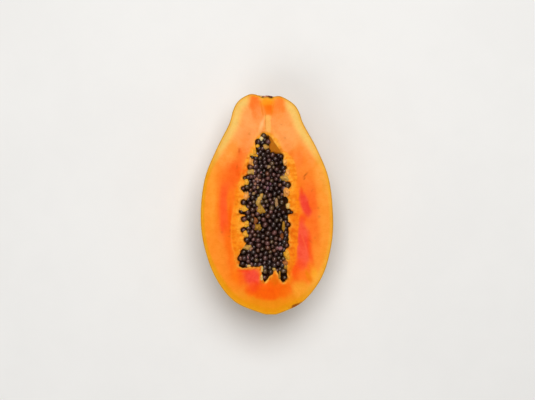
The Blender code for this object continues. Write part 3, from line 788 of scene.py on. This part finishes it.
def paint_loose_pulp(ground, xy, to_rim):
    """Lays the band of loose pulp round the hollow, which ends raggedly at PULP_EDGE.

    Noise in strands and in grains darkens it, blue most and red least, and lays brown flecks near
    the rim. It calms down at the stem end. The lip is pale, and brown beside an edge seed: partly
    the seed's brownish gel, partly painted shade at its pocket's edge.
    """
    x, y = xy.T
    flat = at_height(xy)
    edge = smooth_curve(PULP_EDGE, 1200, closed=True) * MM
    out = distance_to(xy, edge) * np.where(inside(xy, edge), -1, 1)
    out += rough(flat, (0.7, 5, 14), (0.5, 1.8, 20)) * MM
    spokes = lumps(strand_places(xy, out), 1.9 * MM, 16)
    speckle = lumps(flat, 2.2 * MM, 13) * 0.5 + spokes * 0.75 + lumps(flat, 1.0 * MM, 19) * 0.3
    outwards = np.clip(to_rim / (to_rim + np.abs(out) + 0.2 * MM) + 0.25 * speckle, 0, 1)[:, None]
    outer = mixed(PULP_ABOVE, PULP_BELOW, smooth_step(0.008, 0.030, y)[:, None])
    pulp = linear(PULP_AT_RIM) * (1 - outwards) + outer * outwards
    for patch in LOOSE_PULP_PATCHES:
        lay_patch(pulp, patch, xy)
    loud = 1 - 0.6 * smooth_step(*POINT_PULP, y)
    dark = ((1 - np.clip(0.5 + 1.5 * speckle, 0, 1)) * loud)[:, None]
    pulp = pulp * (1 - dark * GRAIN_DARKENING) * 1.05
    flecks = smooth_step(-0.22, -0.62, speckle) * smooth_step(4.5 * MM, 1.0 * MM, to_rim)
    lay(pulp, FLECK, flecks * loud * 0.6)
    lay(ground, pulp, smooth_step(1.0 * MM, -0.8 * MM, out) * 0.9)

    border = bell(out + 0.3 * MM, 0.7 * MM) * (1 - smooth_step(-0.052, -0.060, y))
    border *= smooth_step(0.012, -0.004, y) * smooth_step(0.01, -0.01, x)
    lay(ground, PULP_BORDER, border * 0.4)

    # Brown round each edge seed: partly its brownish gel, partly painted shade at its pocket's edge.
    seeds = np.array(EDGE_SEEDS) * MM
    gap = np.linalg.norm(xy[:, None] - seeds[None, :, :2], axis=2) - seeds[None, :, 2] / 2
    near_seed = bell(np.clip(gap.min(axis=1), 0, None), 0.9 * MM)
    near_seed *= 1 - 0.6 * smooth_step(*POINT_SEEDS, y)
    lip = bell(to_rim, 1.3 * MM) * (1 - 0.85 * smooth_step(*POINT_LIP, y))
    lay(ground, LIP, lip * (np.clip(0.45 + 0.6 * speckle, 0, 1) * (1 - near_seed)))
    lay(ground, ROUND_SEEDS_GEL_AND_SHADE, near_seed * (0.7 + 0.3 * speckle).clip(0, 1))


def paint_marks(ground, xy, to_skin):
    """Lays the small brown marks, the line down the stem channel, the skin's edge and its scar."""
    x, y = xy.T
    for *place, strength in MARKS:
        lay(ground, MARK, strength * bell(in_ellipse(xy, *place), 1))
    channel = bell(x + 1.4 * MM, 0.45 * MM)
    channel *= smooth_step(0.066, 0.070, y) * smooth_step(0.086, 0.080, y)
    lay(ground, CHANNEL_LINE, channel * 0.7)
    lay(ground, RIND_LINE, smooth_step(1.1 * MM, 0.5 * MM, to_skin) * 0.9)
    scar = skin_scar(at_height(xy, CUT)) * smooth_step(3.2 * MM, 1.6 * MM, to_skin)
    lay(ground, SCARRED_SKIN, scar * 0.95)


def skin_scar(points):
    """How strongly the skin's brown scar shows, a ragged patch that fades with depth."""
    q = np.hypot(in_ellipse(points[:, :2], *SKIN_SCAR), (CUT - points[:, 2]) / (7 * MM))
    q = q * (1 + 0.35 * lumps(points, 2.4 * MM, 17) + 0.2 * lumps(points, 0.9 * MM, 18))
    return smooth_step(1.15, 0.6, q)


def strand_places(xy, out):
    """Places in which noise runs in strands away from the hollow's long axis.

    The nearest place on the axis plus 30 mm towards the point, and a quarter of the way out.
    """
    along = np.clip(xy[:, 1], *HOLLOW_AXIS)
    away = xy - np.column_stack([np.zeros(len(xy)), along])
    away = away / (np.linalg.norm(away, axis=1, keepdims=True) + 1e-9) * 0.03
    return np.column_stack([away[:, 0], along + away[:, 1], out * 0.25])


def paint_wall(points):
    """The hollow wall's linear colours: golden brown, paler at the stem end; painted shade deep down and by
    the seeds.
    """
    x, y, z = points.T
    wall = mixed(WALL, WALL_MOTTLE, lumps(points, 3 * MM, 15)[:, None] * 0.5 + 0.5)
    lay(wall, WALL_AT_POINT, smooth_step(0.0605, 0.0635, y))
    # Painted shade: the wall is near black beside the seeds.
    lay(wall, WALL_SHADE_BY_SEEDS, smooth_step(0.0030, 0.0014, x) * smooth_step(0.0640, 0.0615, y))
    # Painted shade: the wall darkens with depth.
    lay(wall, WALL_DEEP_SHADE, smooth_step(0.2, 0.7, (CUT - z) / HOLLOW_DEPTH))
    return wall


# Seeds and pulp


def inside(points, outline):
    """Whether points lie inside a closed outline: a ray along +X crosses it an odd number of times."""
    start, end = outline, np.roll(outline, -1, axis=0)
    spans = (start[None, :, 1] > points[:, None, 1]) != (end[None, :, 1] > points[:, None, 1])
    rise = end[:, 1] - start[:, 1]
    rise = np.where(rise == 0, 1e-12, rise)
    slope = (end[:, 0] - start[:, 0]) / rise
    crossing = start[None, :, 0] + (points[:, None, 1] - start[None, :, 1]) * slope[None]
    return (spans & (crossing > points[:, None, 0])).sum(axis=1) % 2 == 1


def seed_spots(settings):
    """Places of the seeds that show: random ones, then pushed apart until they lie evenly.

    Each step moves a seed by a share of its overlap with every neighbour nearer than the pitch, and
    away from lobes of pulp, the bare spot and the rim. The edge seeds stay where they are.
    """
    draw = np.random.default_rng(settings.seed)
    plain = smooth_curve(RIM, 560, closed=True) * MM
    fixed = np.array(EDGE_SEEDS)[:, :2] * MM
    low, high = plain.min(axis=0), plain.max(axis=0)
    loose = draw.uniform(low, high, (settings.count * 3, 2))
    loose = loose[inside(loose, plain) & (distance_to(loose, plain) > 1.5 * MM)][: settings.count]
    spots = np.vstack([fixed, loose])
    pitch = settings.pitch * draw.uniform(0.78, 1.18, len(spots))
    keep_off = [(x, y, (half_x + half_y) / 2 + 1.5) for x, y, half_x, half_y, _ in LOBES]
    keep_off += [(*BARE_SPOT, BARE_RADIUS)]
    for _ in range(PUSH_STEPS):
        away = spots[:, None] - spots[None]
        gap = np.linalg.norm(away, axis=2) + 1e-9
        push = np.clip(pitch[:, None] / 2 + pitch[None] / 2 - gap, 0, None) * (gap > 1e-6)
        move = (away / gap[..., None] * push[..., None]).sum(axis=1) * 0.32
        for x, y, radius in keep_off:
            out = spots - np.array([x, y]) * MM
            far = np.linalg.norm(out, axis=1, keepdims=True) + 1e-9
            move += out / far * np.clip(radius * MM - far, 0, None) * 0.6
        spots[len(fixed) :] += move[len(fixed) :]
        shares = hollow_reach(spots)
        room = 1 - 2.3 * MM / (rim_reach(spots - MIDDLE, plain) + 1e-9)
        pull = np.minimum(room / np.maximum(shares, 1e-6), 1)[:, None]
        spots[len(fixed) :] = (MIDDLE + (spots - MIDDLE) * pull)[len(fixed) :]
    x, y, half_x, half_y = BARE_PATCH
    out = np.abs(spots / MM - (x, y)) / (half_x, half_y)
    kept = ((out**4).sum(axis=1) > 1) & (spots[:, 1] < HIGHEST_LOOSE_SEED * MM)
    kept[: len(fixed)] = True
    return spots[kept], pitch[kept] / settings.pitch


def bed_points(settings):
    """The pulp under the seeds as a closed body: its top follows the seeds, its foot the wall."""
    around, top_rows, foot_rows = 300, 26, 8
    ray = circle(around)
    reach = rim_reach(ray, rim_line()) - 0.3 * MM
    bare = np.array(BARE_SPOT) * MM - MIDDLE
    along = ray @ bare
    aside = (bare @ bare) - along**2
    near = along - np.sqrt(np.clip((BARE_RADIUS * MM) ** 2 - aside, 0, None))
    reach = np.where((along > 0) & (aside < (BARE_RADIUS * MM) ** 2), np.minimum(near, reach), reach)
    share = np.linspace(0, 1, top_rows + 1)[1:, None, None] ** 0.8
    top = MIDDLE + ray[None] * reach[None, :, None] * share
    flat = top.reshape(-1, 2)
    under = settings.size * BED_UNDER_SEEDS
    depth = seeds_depth(flat, settings) + under
    depth -= rough(at_height(flat), (0.7, 3.2, 21), (0.25, 1.3, 22)) * MM
    upper = at_height(flat, CUT - depth)
    share = np.cos(np.linspace(0, math.pi / 2, foot_rows + 2)[1:-1])[:, None, None]
    foot = (MIDDLE + ray[None] * reach[None, :, None] * share * 0.985).reshape(-1, 2)
    down = wall_depth(np.repeat(share.ravel(), around), settings.floor_depth - BED_CLEARANCE)
    down = np.maximum(down, seeds_depth(foot, settings) + under + BED_CLEARANCE)
    lower = at_height(foot, CUT - down)
    ends = [
        [*MIDDLE, CUT - seeds_depth(MIDDLE[None], settings)[0] - under],
        [*MIDDLE, CUT - settings.floor_depth + BED_CLEARANCE],
    ]
    return np.vstack([upper, lower, ends]), capped_faces(top_rows + foot_rows, around)


# Materials


def node_group(name, inputs, outputs):
    """An empty shader node group with named sockets: its tree, what it is given and its last node."""
    group = bpy.data.node_groups.new(name, "ShaderNodeTree")
    for label, (kind, default) in inputs.items():
        socket = group.interface.new_socket(label, in_out="INPUT", socket_type=f"NodeSocket{kind}")
        socket.default_value = default
    for label, kind in outputs.items():
        group.interface.new_socket(label, in_out="OUTPUT", socket_type=f"NodeSocket{kind}")
    given = group.nodes.new("NodeGroupInput").outputs
    return group, given, group.nodes.new("NodeGroupOutput")


def add_node(tree, kind, inputs=(), **values):
    """A new shader node with its properties set and its inputs linked, or set to a plain value."""
    node = tree.nodes.new(f"ShaderNode{kind}")
    for key, value in values.items():
        setattr(node, key, value)
    for key, value in dict(inputs).items():
        if isinstance(value, bpy.types.NodeSocket):
            tree.links.new(value, node.inputs[key])
        else:
            node.inputs[key].default_value = value
    return node


def link(tree, node, **sockets):
    """Links sockets to the inputs of a node, whose names have _ for a space."""
    for label, socket in sockets.items():
        tree.links.new(socket, node.inputs[label.replace("_", " ")])


def maths(tree, operation, *values):
    """The result of a Math node over sockets and numbers."""
    return add_node(tree, "Math", enumerate(values), operation=operation).outputs[0]


def mapped(tree, value, low, high, to_low, to_high, **properties):
    """A value mapped from low and high to two other numbers and held between them."""
    limits = {"Value": value, "From Min": low, "From Max": high, "To Min": to_low, "To Max": to_high}
    return add_node(tree, "MapRange", limits, **properties).outputs["Result"]


def noise(tree, **inputs):
    """The value of a Noise Texture."""
    return add_node(tree, "TexNoise", inputs).outputs["Fac"]


def blend(tree, factor, colour, other):
    """Two colours mixed: the first at factor 0 and the other at 1."""
    return add_node(tree, "Mix", {"Factor": factor, 6: colour, 7: other}, data_type="RGBA").outputs[2]


def shifted(tree, colour, hue, saturation, value):
    """A colour with its hue moved (0.5 leaves it) and its saturation and value multiplied."""
    shift = {"Color": colour, "Hue": hue, "Saturation": saturation, "Value": value}
    return add_node(tree, "HueSaturation", shift).outputs[0]


def attribute(tree, name, output):
    """What the mesh stores under a name, as a Color, Vector or Fac."""
    return add_node(tree, "Attribute", attribute_name=name).outputs[output]


def object_place(tree):
    """Places in the piece's own coordinates."""
    return add_node(tree, "TexCoord").outputs["Object"]


def bump(tree, shader, height, strength, distance):
    """A Bump node from a height to the shader's normal."""
    node = add_node(tree, "Bump", {"Height": height, "Strength": strength, "Distance": distance})
    link(tree, shader, Normal=node.outputs["Normal"])


def mottle_group():
    """Mixes two colours by coarse and fine noise, and puts out the mask and a height as well."""
    group, given, out = node_group(
        "mottle",
        {
            "Vector": ("Vector", (0, 0, 0)),
            "Colour": ("Color", (0.8, 0.4, 0.1, 1)),
            "Other": ("Color", (0.7, 0.3, 0.1, 1)),
            "Scale": ("Float", 120.0),
            "Amount": ("Float", 0.5),
        },
        {"Colour": "Color", "Mask": "Float", "Height": "Float"},
    )
    where, scale = given["Vector"], given["Scale"]
    coarse = noise(group, Vector=where, Scale=scale, Detail=3.0, Roughness=0.55)
    finer = maths(group, "MULTIPLY", scale, 5.0)
    fine = noise(group, Vector=where, Scale=finer, Detail=2.0, Roughness=0.6)
    both = maths(group, "MULTIPLY_ADD", fine, 0.35, coarse)
    mask = mapped(group, both, 0.5, 0.86, 0.0, 1.0, interpolation_type="SMOOTHSTEP")
    shown = maths(group, "MULTIPLY", mask, given["Amount"])
    link(group, out, Colour=blend(group, shown, given["Colour"], given["Other"]), Mask=mask, Height=both)


def fibre_group():
    """Fine fibres: noise over the stretched vector, as a mask, and pores as a height."""
    group, given, out = node_group(
        "fibre",
        {
            "Vector": ("Vector", (0, 0, 0)),
            "Stretch": ("Vector", (1.0, 0.15, 1.0)),
            "Scale": ("Float", 900.0),
        },
        {"Mask": "Float", "Height": "Float"},
    )
    where, scale = given["Vector"], given["Scale"]
    stretched = add_node(group, "VectorMath", {0: where, 1: given["Stretch"]}, operation="MULTIPLY")
    strands = noise(group, Vector=stretched.outputs[0], Scale=scale, Detail=4.0, Distortion=0.6)
    pores = add_node(group, "TexVoronoi", {"Vector": where, "Scale": scale}, feature="SMOOTH_F1")
    height = maths(group, "MULTIPLY_ADD", pores.outputs["Distance"], 0.5, strands)
    link(group, out, Mask=strands, Height=height)


def placed(tree, name, **inputs):
    """The outputs of a shared node group, placed in a material with its own inputs."""
    if name not in bpy.data.node_groups:
        {"mottle": mottle_group, "fibre": fibre_group}[name]()
    return add_node(tree, "Group", inputs, node_tree=bpy.data.node_groups[name]).outputs


def new_material(name, **sockets):
    """A Principled material with plain numbers set on the shader's own sockets."""
    material = bpy.data.materials.new(name)
    material.use_nodes = True
    shader = material.node_tree.nodes["Principled BSDF"]
    for label, value in sockets.items():
        shader.inputs[label.replace("_", " ")].default_value = value
    return material, material.node_tree, shader


def flesh_material():
    """Moist cut flesh: painted colours with fine fibres, light that sinks in, and a soft gloss."""
    material, tree, shader = new_material(
        "cut_flesh", Roughness=0.42, Specular_IOR_Level=0.08, Specular_Tint=(1.0, 0.66, 0.3, 1),
        Subsurface_Weight=0.3, Subsurface_Radius=(0.0016, 0.0007, 0.0003), Subsurface_Scale=1.0,
    )
    painted = attribute(tree, "flesh_colour", "Color")
    strands = attribute(tree, "strands", "Vector")
    fibres = placed(tree, "fibre", Vector=strands, Stretch=(1.0, 1.0, 1.0), Scale=900.0)
    deeper = shifted(tree, painted, 0.492, 1.06, 0.86)
    where = object_place(tree)
    mottled = placed(tree, "mottle", Vector=where, Colour=painted, Other=deeper, Scale=150.0, Amount=0.38)
    streaked = mapped(tree, fibres["Mask"], 0.45, 0.75, 0.0, 0.22)
    colour = blend(tree, streaked, mottled["Colour"], deeper)
    link(tree, shader, Base_Color=colour, Roughness=mapped(tree, mottled["Mask"], 0.0, 1.0, 0.36, 0.52))
    bump(tree, shader, fibres["Height"], 0.16, 0.0003)
    return material


def rind_material(green):
    """Thin waxy skin: golden yellow with olive patches, lengthwise streaks, freckles and a scar."""
    material, tree, shader = new_material(
        "rind", Roughness=0.36, Coat_Weight=0.15, Coat_Roughness=0.25,
        Subsurface_Weight=0.08, Subsurface_Radius=(0.002, 0.0012, 0.0003), Subsurface_Scale=1.0,
    )
    golden, orange, brown, rust = ((*linear(c), 1) for c in ("#DE9C14", "#D8741A", "#6E4A1C", "#8E3C14"))
    where = object_place(tree)
    along = {"Vector": where, "Scale": (1.0, 0.28, 1.0)}
    long = add_node(tree, "Mapping", along, vector_type="POINT").outputs["Vector"]
    olive = placed(tree, "mottle", Vector=long, Colour=golden, Other=(*green, 1), Scale=34.0, Amount=0.75)
    warm = placed(tree, "mottle", Vector=where, Colour=olive["Colour"], Other=orange, Scale=55.0, Amount=0.4)
    cells = add_node(tree, "TexVoronoi", {"Vector": where, "Scale": 330.0, "Randomness": 1.0})
    size = mapped(tree, noise(tree, Vector=where, Scale=60.0, Detail=2.0), 0.45, 0.75, 0.02, 0.20)
    near = maths(tree, "SUBTRACT", size, cells.outputs["Distance"])
    freckle = mapped(tree, near, 0.0, 0.05, 0.0, 0.8)
    spotted = blend(tree, freckle, warm["Colour"], brown)
    scarred = blend(tree, attribute(tree, "scar", "Fac"), spotted, rust)
    link(tree, shader, Base_Color=scarred, Roughness=mapped(tree, warm["Mask"], 0.0, 1.0, 0.32, 0.48))
    bump(tree, shader, maths(tree, "MULTIPLY_ADD", freckle, 0.5, olive["Height"]), 0.2, 0.0004)
    return material


def mottle_painted(tree, shader, name, shift, scale, amount, height):
    """An attribute's colours mottled with a darker shift of them, on a bump of the same mottle."""
    painted = attribute(tree, name, "Color")
    darker = shifted(tree, painted, *shift)
    where = object_place(tree)
    mottled = placed(tree, "mottle", Vector=where, Colour=painted, Other=darker, Scale=scale, Amount=amount)
    link(tree, shader, Base_Color=mottled["Colour"])
    bump(tree, shader, mottled["Height"], *height)


def pulp_material(name, roughness, gloss, soft):
    """Soft wet pulp: its own colours, mottled, as glossy and as soft to light as given."""
    material, tree, shader = new_material(
        name, Roughness=roughness, Specular_IOR_Level=gloss, Specular_Tint=(1.0, 0.8, 0.6, 1),
        Subsurface_Weight=soft, Subsurface_Radius=(0.0025, 0.0012, 0.0005), Subsurface_Scale=1.0,
    )
    mottle_painted(tree, shader, "pulp_colour", (0.49, 1.05, 0.6), 420.0, 0.6, (0.35, 0.0003))
    return material


def seed_material():
    """Seeds in their gel: nearly black, with painted light that makes their upper sides paler, wrinkled and
    wet.

    Each seed's wetness is the weight of its coat.
    """
    material, tree, shader = new_material(
        "seed_coat", Roughness=0.46, Specular_IOR_Level=0.34, Specular_Tint=(1.0, 0.66, 0.54, 1),
        Coat_Roughness=0.17, Coat_IOR=1.5, Coat_Tint=(1.0, 0.86, 0.78, 1),
    )
    mottle_painted(tree, shader, "seed_colour", (0.5, 1.1, 0.45), 650.0, 0.6, (0.4, 0.0004))
    link(tree, shader, Coat_Weight=attribute(tree, "seed_wetness", "Fac"))
    return material


def cork_material():
    """The dry stem scar: brown cork with darker pits."""
    material, tree, shader = new_material("stem_cork", Roughness=0.8, Specular_IOR_Level=0.25)
    mottle_painted(tree, shader, "cork_colour", (0.5, 1.1, 0.4), 380.0, 0.8, (0.6, 0.0006))
    return material


def table_material(colour):
    """A pale matt table top with the faintest mottle."""
    material, tree, shader = new_material("pale_table", Roughness=0.85, Specular_IOR_Level=0.2)
    where = object_place(tree)
    plain, darker = (*colour, 1), (*(0.97 * c for c in colour), 1)
    mottled = placed(tree, "mottle", Vector=where, Colour=plain, Other=darker, Scale=9.0, Amount=0.6)
    link(tree, shader, Base_Color=mottled["Colour"])
    return material


# Settings


def length_setting(name, description, default):
    """A length in metres."""
    return FloatProperty(
        name=name, description=description, default=default, subtype="DISTANCE", unit="LENGTH"
    )


def power_setting(name, description, default):
    """A light's power in watts."""
    return FloatProperty(
        name=name, description=description, default=default, subtype="POWER", unit="POWER"
    )


def colour_setting(name, description, default):
    """A colour, as linear red, green and blue."""
    return FloatVectorProperty(
        name=name, description=description, default=tuple(default), subtype="COLOR", size=3, min=0, max=1
    )


class PapayaFleshSettings(PropertyGroup):
    hollow_depth: length_setting("Hollow depth", "Depth of the hollow under the cut face", HOLLOW_DEPTH)
    lip: length_setting("Lip", "Radius of the rim's rounding", 0.0009)
    fringe: length_setting("Fringe", "Width of the lumpy band of pulp round the hollow", 0.0068)
    patch_strength: FloatProperty(
        name="Patches", description="How strongly the ripe patches show", default=1.0, min=0, max=1
    )
    green: colour_setting("Green of the rind", "Colour of the rind's unripe patches", linear("#8E8A1A"))


class PapayaSeedSettings(PropertyGroup):
    count: IntProperty(
        name="Loose seeds", description="Seeds laid between the edge seeds", default=190, min=1
    )
    seed: IntProperty(name="Draw", description="Starts the random draw", default=11)
    size: length_setting("Seed size", "Length of a seed in its gel", 0.0059)
    pitch: length_setting("Pitch", "Distance that the seeds are pushed apart to", 0.0053)
    edge_depth: length_setting("Depth at the rim", "Depth of the seeds' middles at the rim", 0.0026)
    trough_depth: length_setting(
        "Depth in the trough", "Depth of the seeds' middles at the deepest place", 0.0075
    )
    trough_at: length_setting("Place of the trough", "Place of the deepest seeds along Y", 0.018)
    trough_length: length_setting("Length of the trough", "How far along Y the trough reaches", 0.038)
    floor_depth: length_setting("Hollow depth", "Depth of the hollow that the pulp fills", HOLLOW_DEPTH)
    # The gel's colours show on the seeds' upper sides, which are painted paler as painted light; the dark is
    # their colour elsewhere.
    dark: colour_setting("Dark", "Colour of the seeds' sides", linear("#140401"))
    mauve: colour_setting("Mauve", "Colour of the gel on most seeds", linear("#5E3A37"))
    brown: colour_setting("Brown", "Colour of the gel on brown seeds", linear("#683E28"))
    olive: colour_setting("Olive", "Colour of the gel on olive seeds", linear("#5C4828"))


class PapayaStageSettings(PropertyGroup):
    table: colour_setting("Table", "Colour of the table", (0.86, 0.85, 0.83))
    key_power: power_setting("Key light", "Power of the large soft light", 22.0)
    fill_power: power_setting("Fill light", "Power of the weaker light", 5.5)
    sky: FloatProperty(name="Sky", description="Strength of the even light from all round", default=0.22)
    lens: FloatProperty(
        name="Lens", description="Focal length on a 36 mm frame", default=85.0, subtype="DISTANCE_CAMERA"
    )
    camera_height: length_setting("Camera height", "Height of the camera over the cut face", 1.146)


# Operators


class PAPAYA_OT_flesh(Operator):
    """Builds the flesh with its rind, cut face and hollow"""

    bl_idname = "papaya.flesh"
    bl_label = "Flesh and rind"

    def execute(self, context):
        settings = context.scene.papaya_flesh
        points, skin_faces, inner_faces, bands, to_rim, to_skin = flesh_points(settings)
        materials = [rind_material(settings.green), flesh_material()]
        piece = piece_from("papaya_flesh", points, skin_faces + inner_faces, materials, "flesh")
        skin_count = sum(len(group) for group in skin_faces)
        worn = np.ones(len(piece.data.polygons), dtype=np.int32)
        worn[:skin_count] = 0
        piece.data.polygons.foreach_set("material_index", worn)
        xy = points[:, :2]
        face = slice(bands[2], bands[3])
        colours = np.tile(linear(RIND_LINE), (len(points), 1))
        colours[face] = paint_cut_face(xy[face], to_rim, to_skin, settings)
        colours[bands[3] :] = paint_wall(points[bands[3] :])
        give_colour(piece, "flesh_colour", colours)
        out = np.zeros(len(points))
        out[face] = to_rim
        give_numbers(piece, "strands", strand_places(xy, out))
        give_numbers(piece, "scar", skin_scar(points))
        piece.data.set_sharp_from_angle(angle=math.radians(60))
        return {"FINISHED"}


class PAPAYA_OT_stem_scar(Operator):
    """Builds the corky scar in the pit at the stem end"""

    bl_idname = "papaya.stem_scar"
    bl_label = "Stem scar"

    def execute(self, context):
        x, y = STEM_SCAR_AT
        middle = np.array([x * MM, y * MM, CUT - STEM_SCAR_DEPTH * MM])
        ball, faces = sphere_grid(40, 24)
        grain = rough(ball * STEM_SCAR_HALF[2] * MM, (0.16, 1.6, 31), (0.08, 0.7, 32))
        points = ball * (1 + grain[:, None]) * (np.array(STEM_SCAR_HALF) * MM)
        points[:, 2] = np.minimum(points[:, 2], 0.15 * MM + 0.12 * MM * grain)
        scar = piece_from("stem_scar", points + middle, faces, [cork_material()], "flesh")
        knob = bell(points[:, 0] + 1.4 * MM, 2.0 * MM, 4)[:, None]
        give_colour(scar, "cork_colour", mixed(CORK_KNOB, CORK, knob))
        return {"FINISHED"}


class PAPAYA_OT_pulp(Operator):
    """Builds the bed of pulp under the seeds and the lobes of pulp between them"""

    bl_idname = "papaya.pulp"
    bl_label = "Pulp"

    def execute(self, context):
        settings = context.scene.papaya_seeds
        # Painted shade: the bed under the seeds is near-black brown, for the dark gaps between them.
        material = pulp_material("shaded_pulp", 0.6, 0.08, 0.0)
        points, faces = bed_points(settings)
        bed = piece_from("pulp_bed", points, faces, [material], "seeds")
        mottle = lumps(points, 5 * MM, 23)[:, None] * 0.5 + 0.5
        give_colour(bed, "pulp_colour", mixed(SHADED_BED, SHADED_BED_MOTTLE, mottle))

        draw = np.random.default_rng(3)
        spots = np.array([lobe[:2] for lobe in LOBES]) * MM
        halves = np.array([(a, b, (a + b) / 2) for _, _, a, b, _ in LOBES]) * MM * 1.15
        depth = seeds_depth(spots, settings) + 0.1 * MM - halves[:, 2] * 0.3
        depth -= 0.9 * MM * smooth_step(0.7, 0.95, hollow_reach(spots))
        depth = np.maximum(depth, halves[:, 2] * 0.75)
        middles = at_height(spots, CUT - depth)
        turns = np.broadcast_to(np.eye(3), (len(LOBES), 3, 3))
        dents = (0.40, 2.2, 24), (0.12, 0.9, 25)
        points, faces, _, each = many_spheres(28, 16, halves, turns, middles, *dents)
        material = pulp_material("pulp", 0.4, 0.26, 0.4)
        lobes = piece_from("pulp_lobes", points, faces, [material], "seeds")
        shades = np.array([linear(LOBE_COLOURS[kind]) for *_, kind in LOBES])
        shades = shades * draw.uniform(0.92, 1.06, (len(LOBES), 1))
        give_colour(lobes, "pulp_colour", np.clip(np.repeat(shades, each, axis=0), 0, 1))
        return {"FINISHED"}


class PAPAYA_OT_seeds(Operator):
    """Lays the seeds that show, each in its gel, and a layer of seeds under them"""

    bl_idname = "papaya.seeds"
    bl_label = "Seeds"

    def execute(self, context):
        settings = context.scene.papaya_seeds
        draw = np.random.default_rng(settings.seed + 1)
        spots, shares = seed_spots(settings)
        tops = len(spots)
        under = spots + draw.uniform(-1, 1, spots.shape) * settings.pitch * 0.6
        under = under[hollow_reach(under) < 0.95]
        lengths = settings.size * np.concatenate([shares, draw.uniform(0.8, 1.1, len(under))])
        spots = np.vstack([spots, under])
        depth = seeds_depth(spots, settings) + draw.uniform(-1.5, 1.5, len(spots)) * MM
        depth[tops:] += settings.size * 0.65
        lengths[: len(EDGE_SEEDS)] = np.array(EDGE_SEEDS)[:, 2] * MM
        depth[: len(EDGE_SEEDS)] = settings.edge_depth - 0.5 * MM
        halves = np.array(SEED_SHAPE) * lengths[:, None] / 2
        middles = at_height(spots, CUT - depth)
        turns = turned(len(spots), draw)
        points, faces, centres, each = many_spheres(10, 5, halves, turns, middles, (0.10, 1.8, 41))
        seeds = piece_from("seeds_in_gel", points, faces, [seed_material()], "seeds")
        kinds = draw.random(len(spots))[:, None]
        gel = np.where(kinds < 0.62, settings.mauve, np.where(kinds < 0.82, settings.brown, settings.olive))
        gel = gel * (0.1 + 1.55 * draw.random((len(spots), 1)) ** 1.4)
        # Painted shade: the seeds in the layer underneath are painted darker.
        gel[tops:] *= 0.35
        # Painted light: each seed's upper side is painted paler in its gel's colour, and its lower side
        # stays dark.
        up = (points - centres)[:, 2] / np.repeat(lengths / 2, each)
        painted_light = smooth_step(0.35, 1.0, up)[:, None]
        base = np.array(settings.dark) * (1 - painted_light) + np.repeat(gel, each, axis=0) * painted_light
        give_colour(seeds, "seed_colour", np.clip(base, 0, 1))
        wet = 1 - 0.45 * draw.random(len(spots)) ** 2
        give_numbers(seeds, "seed_wetness", np.repeat(wet, each))
        return {"FINISHED"}


class PAPAYA_OT_stage(Operator):
    """Sets the table, the lights and the camera, which looks straight down"""

    bl_idname = "papaya.stage"
    bl_label = "Table, lights and camera"

    def execute(self, context):
        settings = context.scene.papaya_stage
        scene = context.scene
        corner = np.array([[-1, -1, 0], [1, -1, 0], [1, 1, 0], [-1, 1, 0]]) * TABLE_HALF
        mesh = bpy.data.meshes.new("table")
        mesh.from_pydata(corner.tolist(), [], [(0, 1, 2, 3)])
        mesh.materials.append(table_material(settings.table))
        table = new_object("table", mesh)

        self.soft_light("key_light", *KEY_LIGHT, settings.key_power)
        self.soft_light("fill_light", *FILL_LIGHT, settings.fill_power)
        world = bpy.data.worlds.new("studio")
        world.use_nodes = True
        sky = world.node_tree.nodes["Background"].inputs
        sky["Color"].default_value = (1.0, 0.985, 0.96, 1)
        sky["Strength"].default_value = settings.sky
        scene.world = world
        scene.view_settings.view_transform = "Standard"

        lens = bpy.data.cameras.new("camera")
        lens.lens = settings.lens
        lens.sensor_width = 36
        scene.camera = new_object("camera", lens)
        scene.camera.location = (*CAMERA_OVER, CUT + settings.camera_height)
        return {"FINISHED"}

    def soft_light(self, name, place, size, power):
        """A square soft light that faces the papaya and isn't seen itself."""
        lamp = bpy.data.lights.new(name, "AREA")
        lamp.shape = "SQUARE"
        lamp.size = size
        lamp.energy = power
        light = new_object(name, lamp)
        light.location = place
        x, y, z = place
        light.rotation_euler = (math.atan2(math.hypot(x, y), z - CUT), 0, math.atan2(x, -y))
        light.visible_camera = False


class PAPAYA_PT_half(Panel):
    """Lists the papaya half's settings and steps"""

    bl_idname = "PAPAYA_PT_half"
    bl_label = "Papaya half"
    bl_space_type = "VIEW_3D"
    bl_region_type = "UI"
    bl_category = "Papaya"

    def draw(self, context):
        layout = self.layout
        for group in (context.scene.papaya_flesh, context.scene.papaya_seeds, context.scene.papaya_stage):
            box = layout.box()
            for name in group.__annotations__:
                box.prop(group, name)
        for step in STEPS:
            layout.operator(step.bl_idname)


STEPS = (PAPAYA_OT_flesh, PAPAYA_OT_stem_scar, PAPAYA_OT_pulp, PAPAYA_OT_seeds, PAPAYA_OT_stage)
SETTINGS = {
    "papaya_flesh": PapayaFleshSettings,
    "papaya_seeds": PapayaSeedSettings,
    "papaya_stage": PapayaStageSettings,
}


def register():
    for kind in (*SETTINGS.values(), *STEPS, PAPAYA_PT_half):
        bpy.utils.register_class(kind)
    for name, kind in SETTINGS.items():
        setattr(bpy.types.Scene, name, PointerProperty(type=kind))


def unregister():
    for name in SETTINGS:
        delattr(bpy.types.Scene, name)
    for kind in (PAPAYA_PT_half, *reversed(STEPS), *SETTINGS.values()):
        bpy.utils.unregister_class(kind)


def main():
    register()
    bpy.ops.papaya.flesh()
    bpy.ops.papaya.stem_scar()
    bpy.ops.papaya.pulp()
    bpy.ops.papaya.seeds()
    bpy.ops.papaya.stage()


if __name__ == "__main__":
    main()
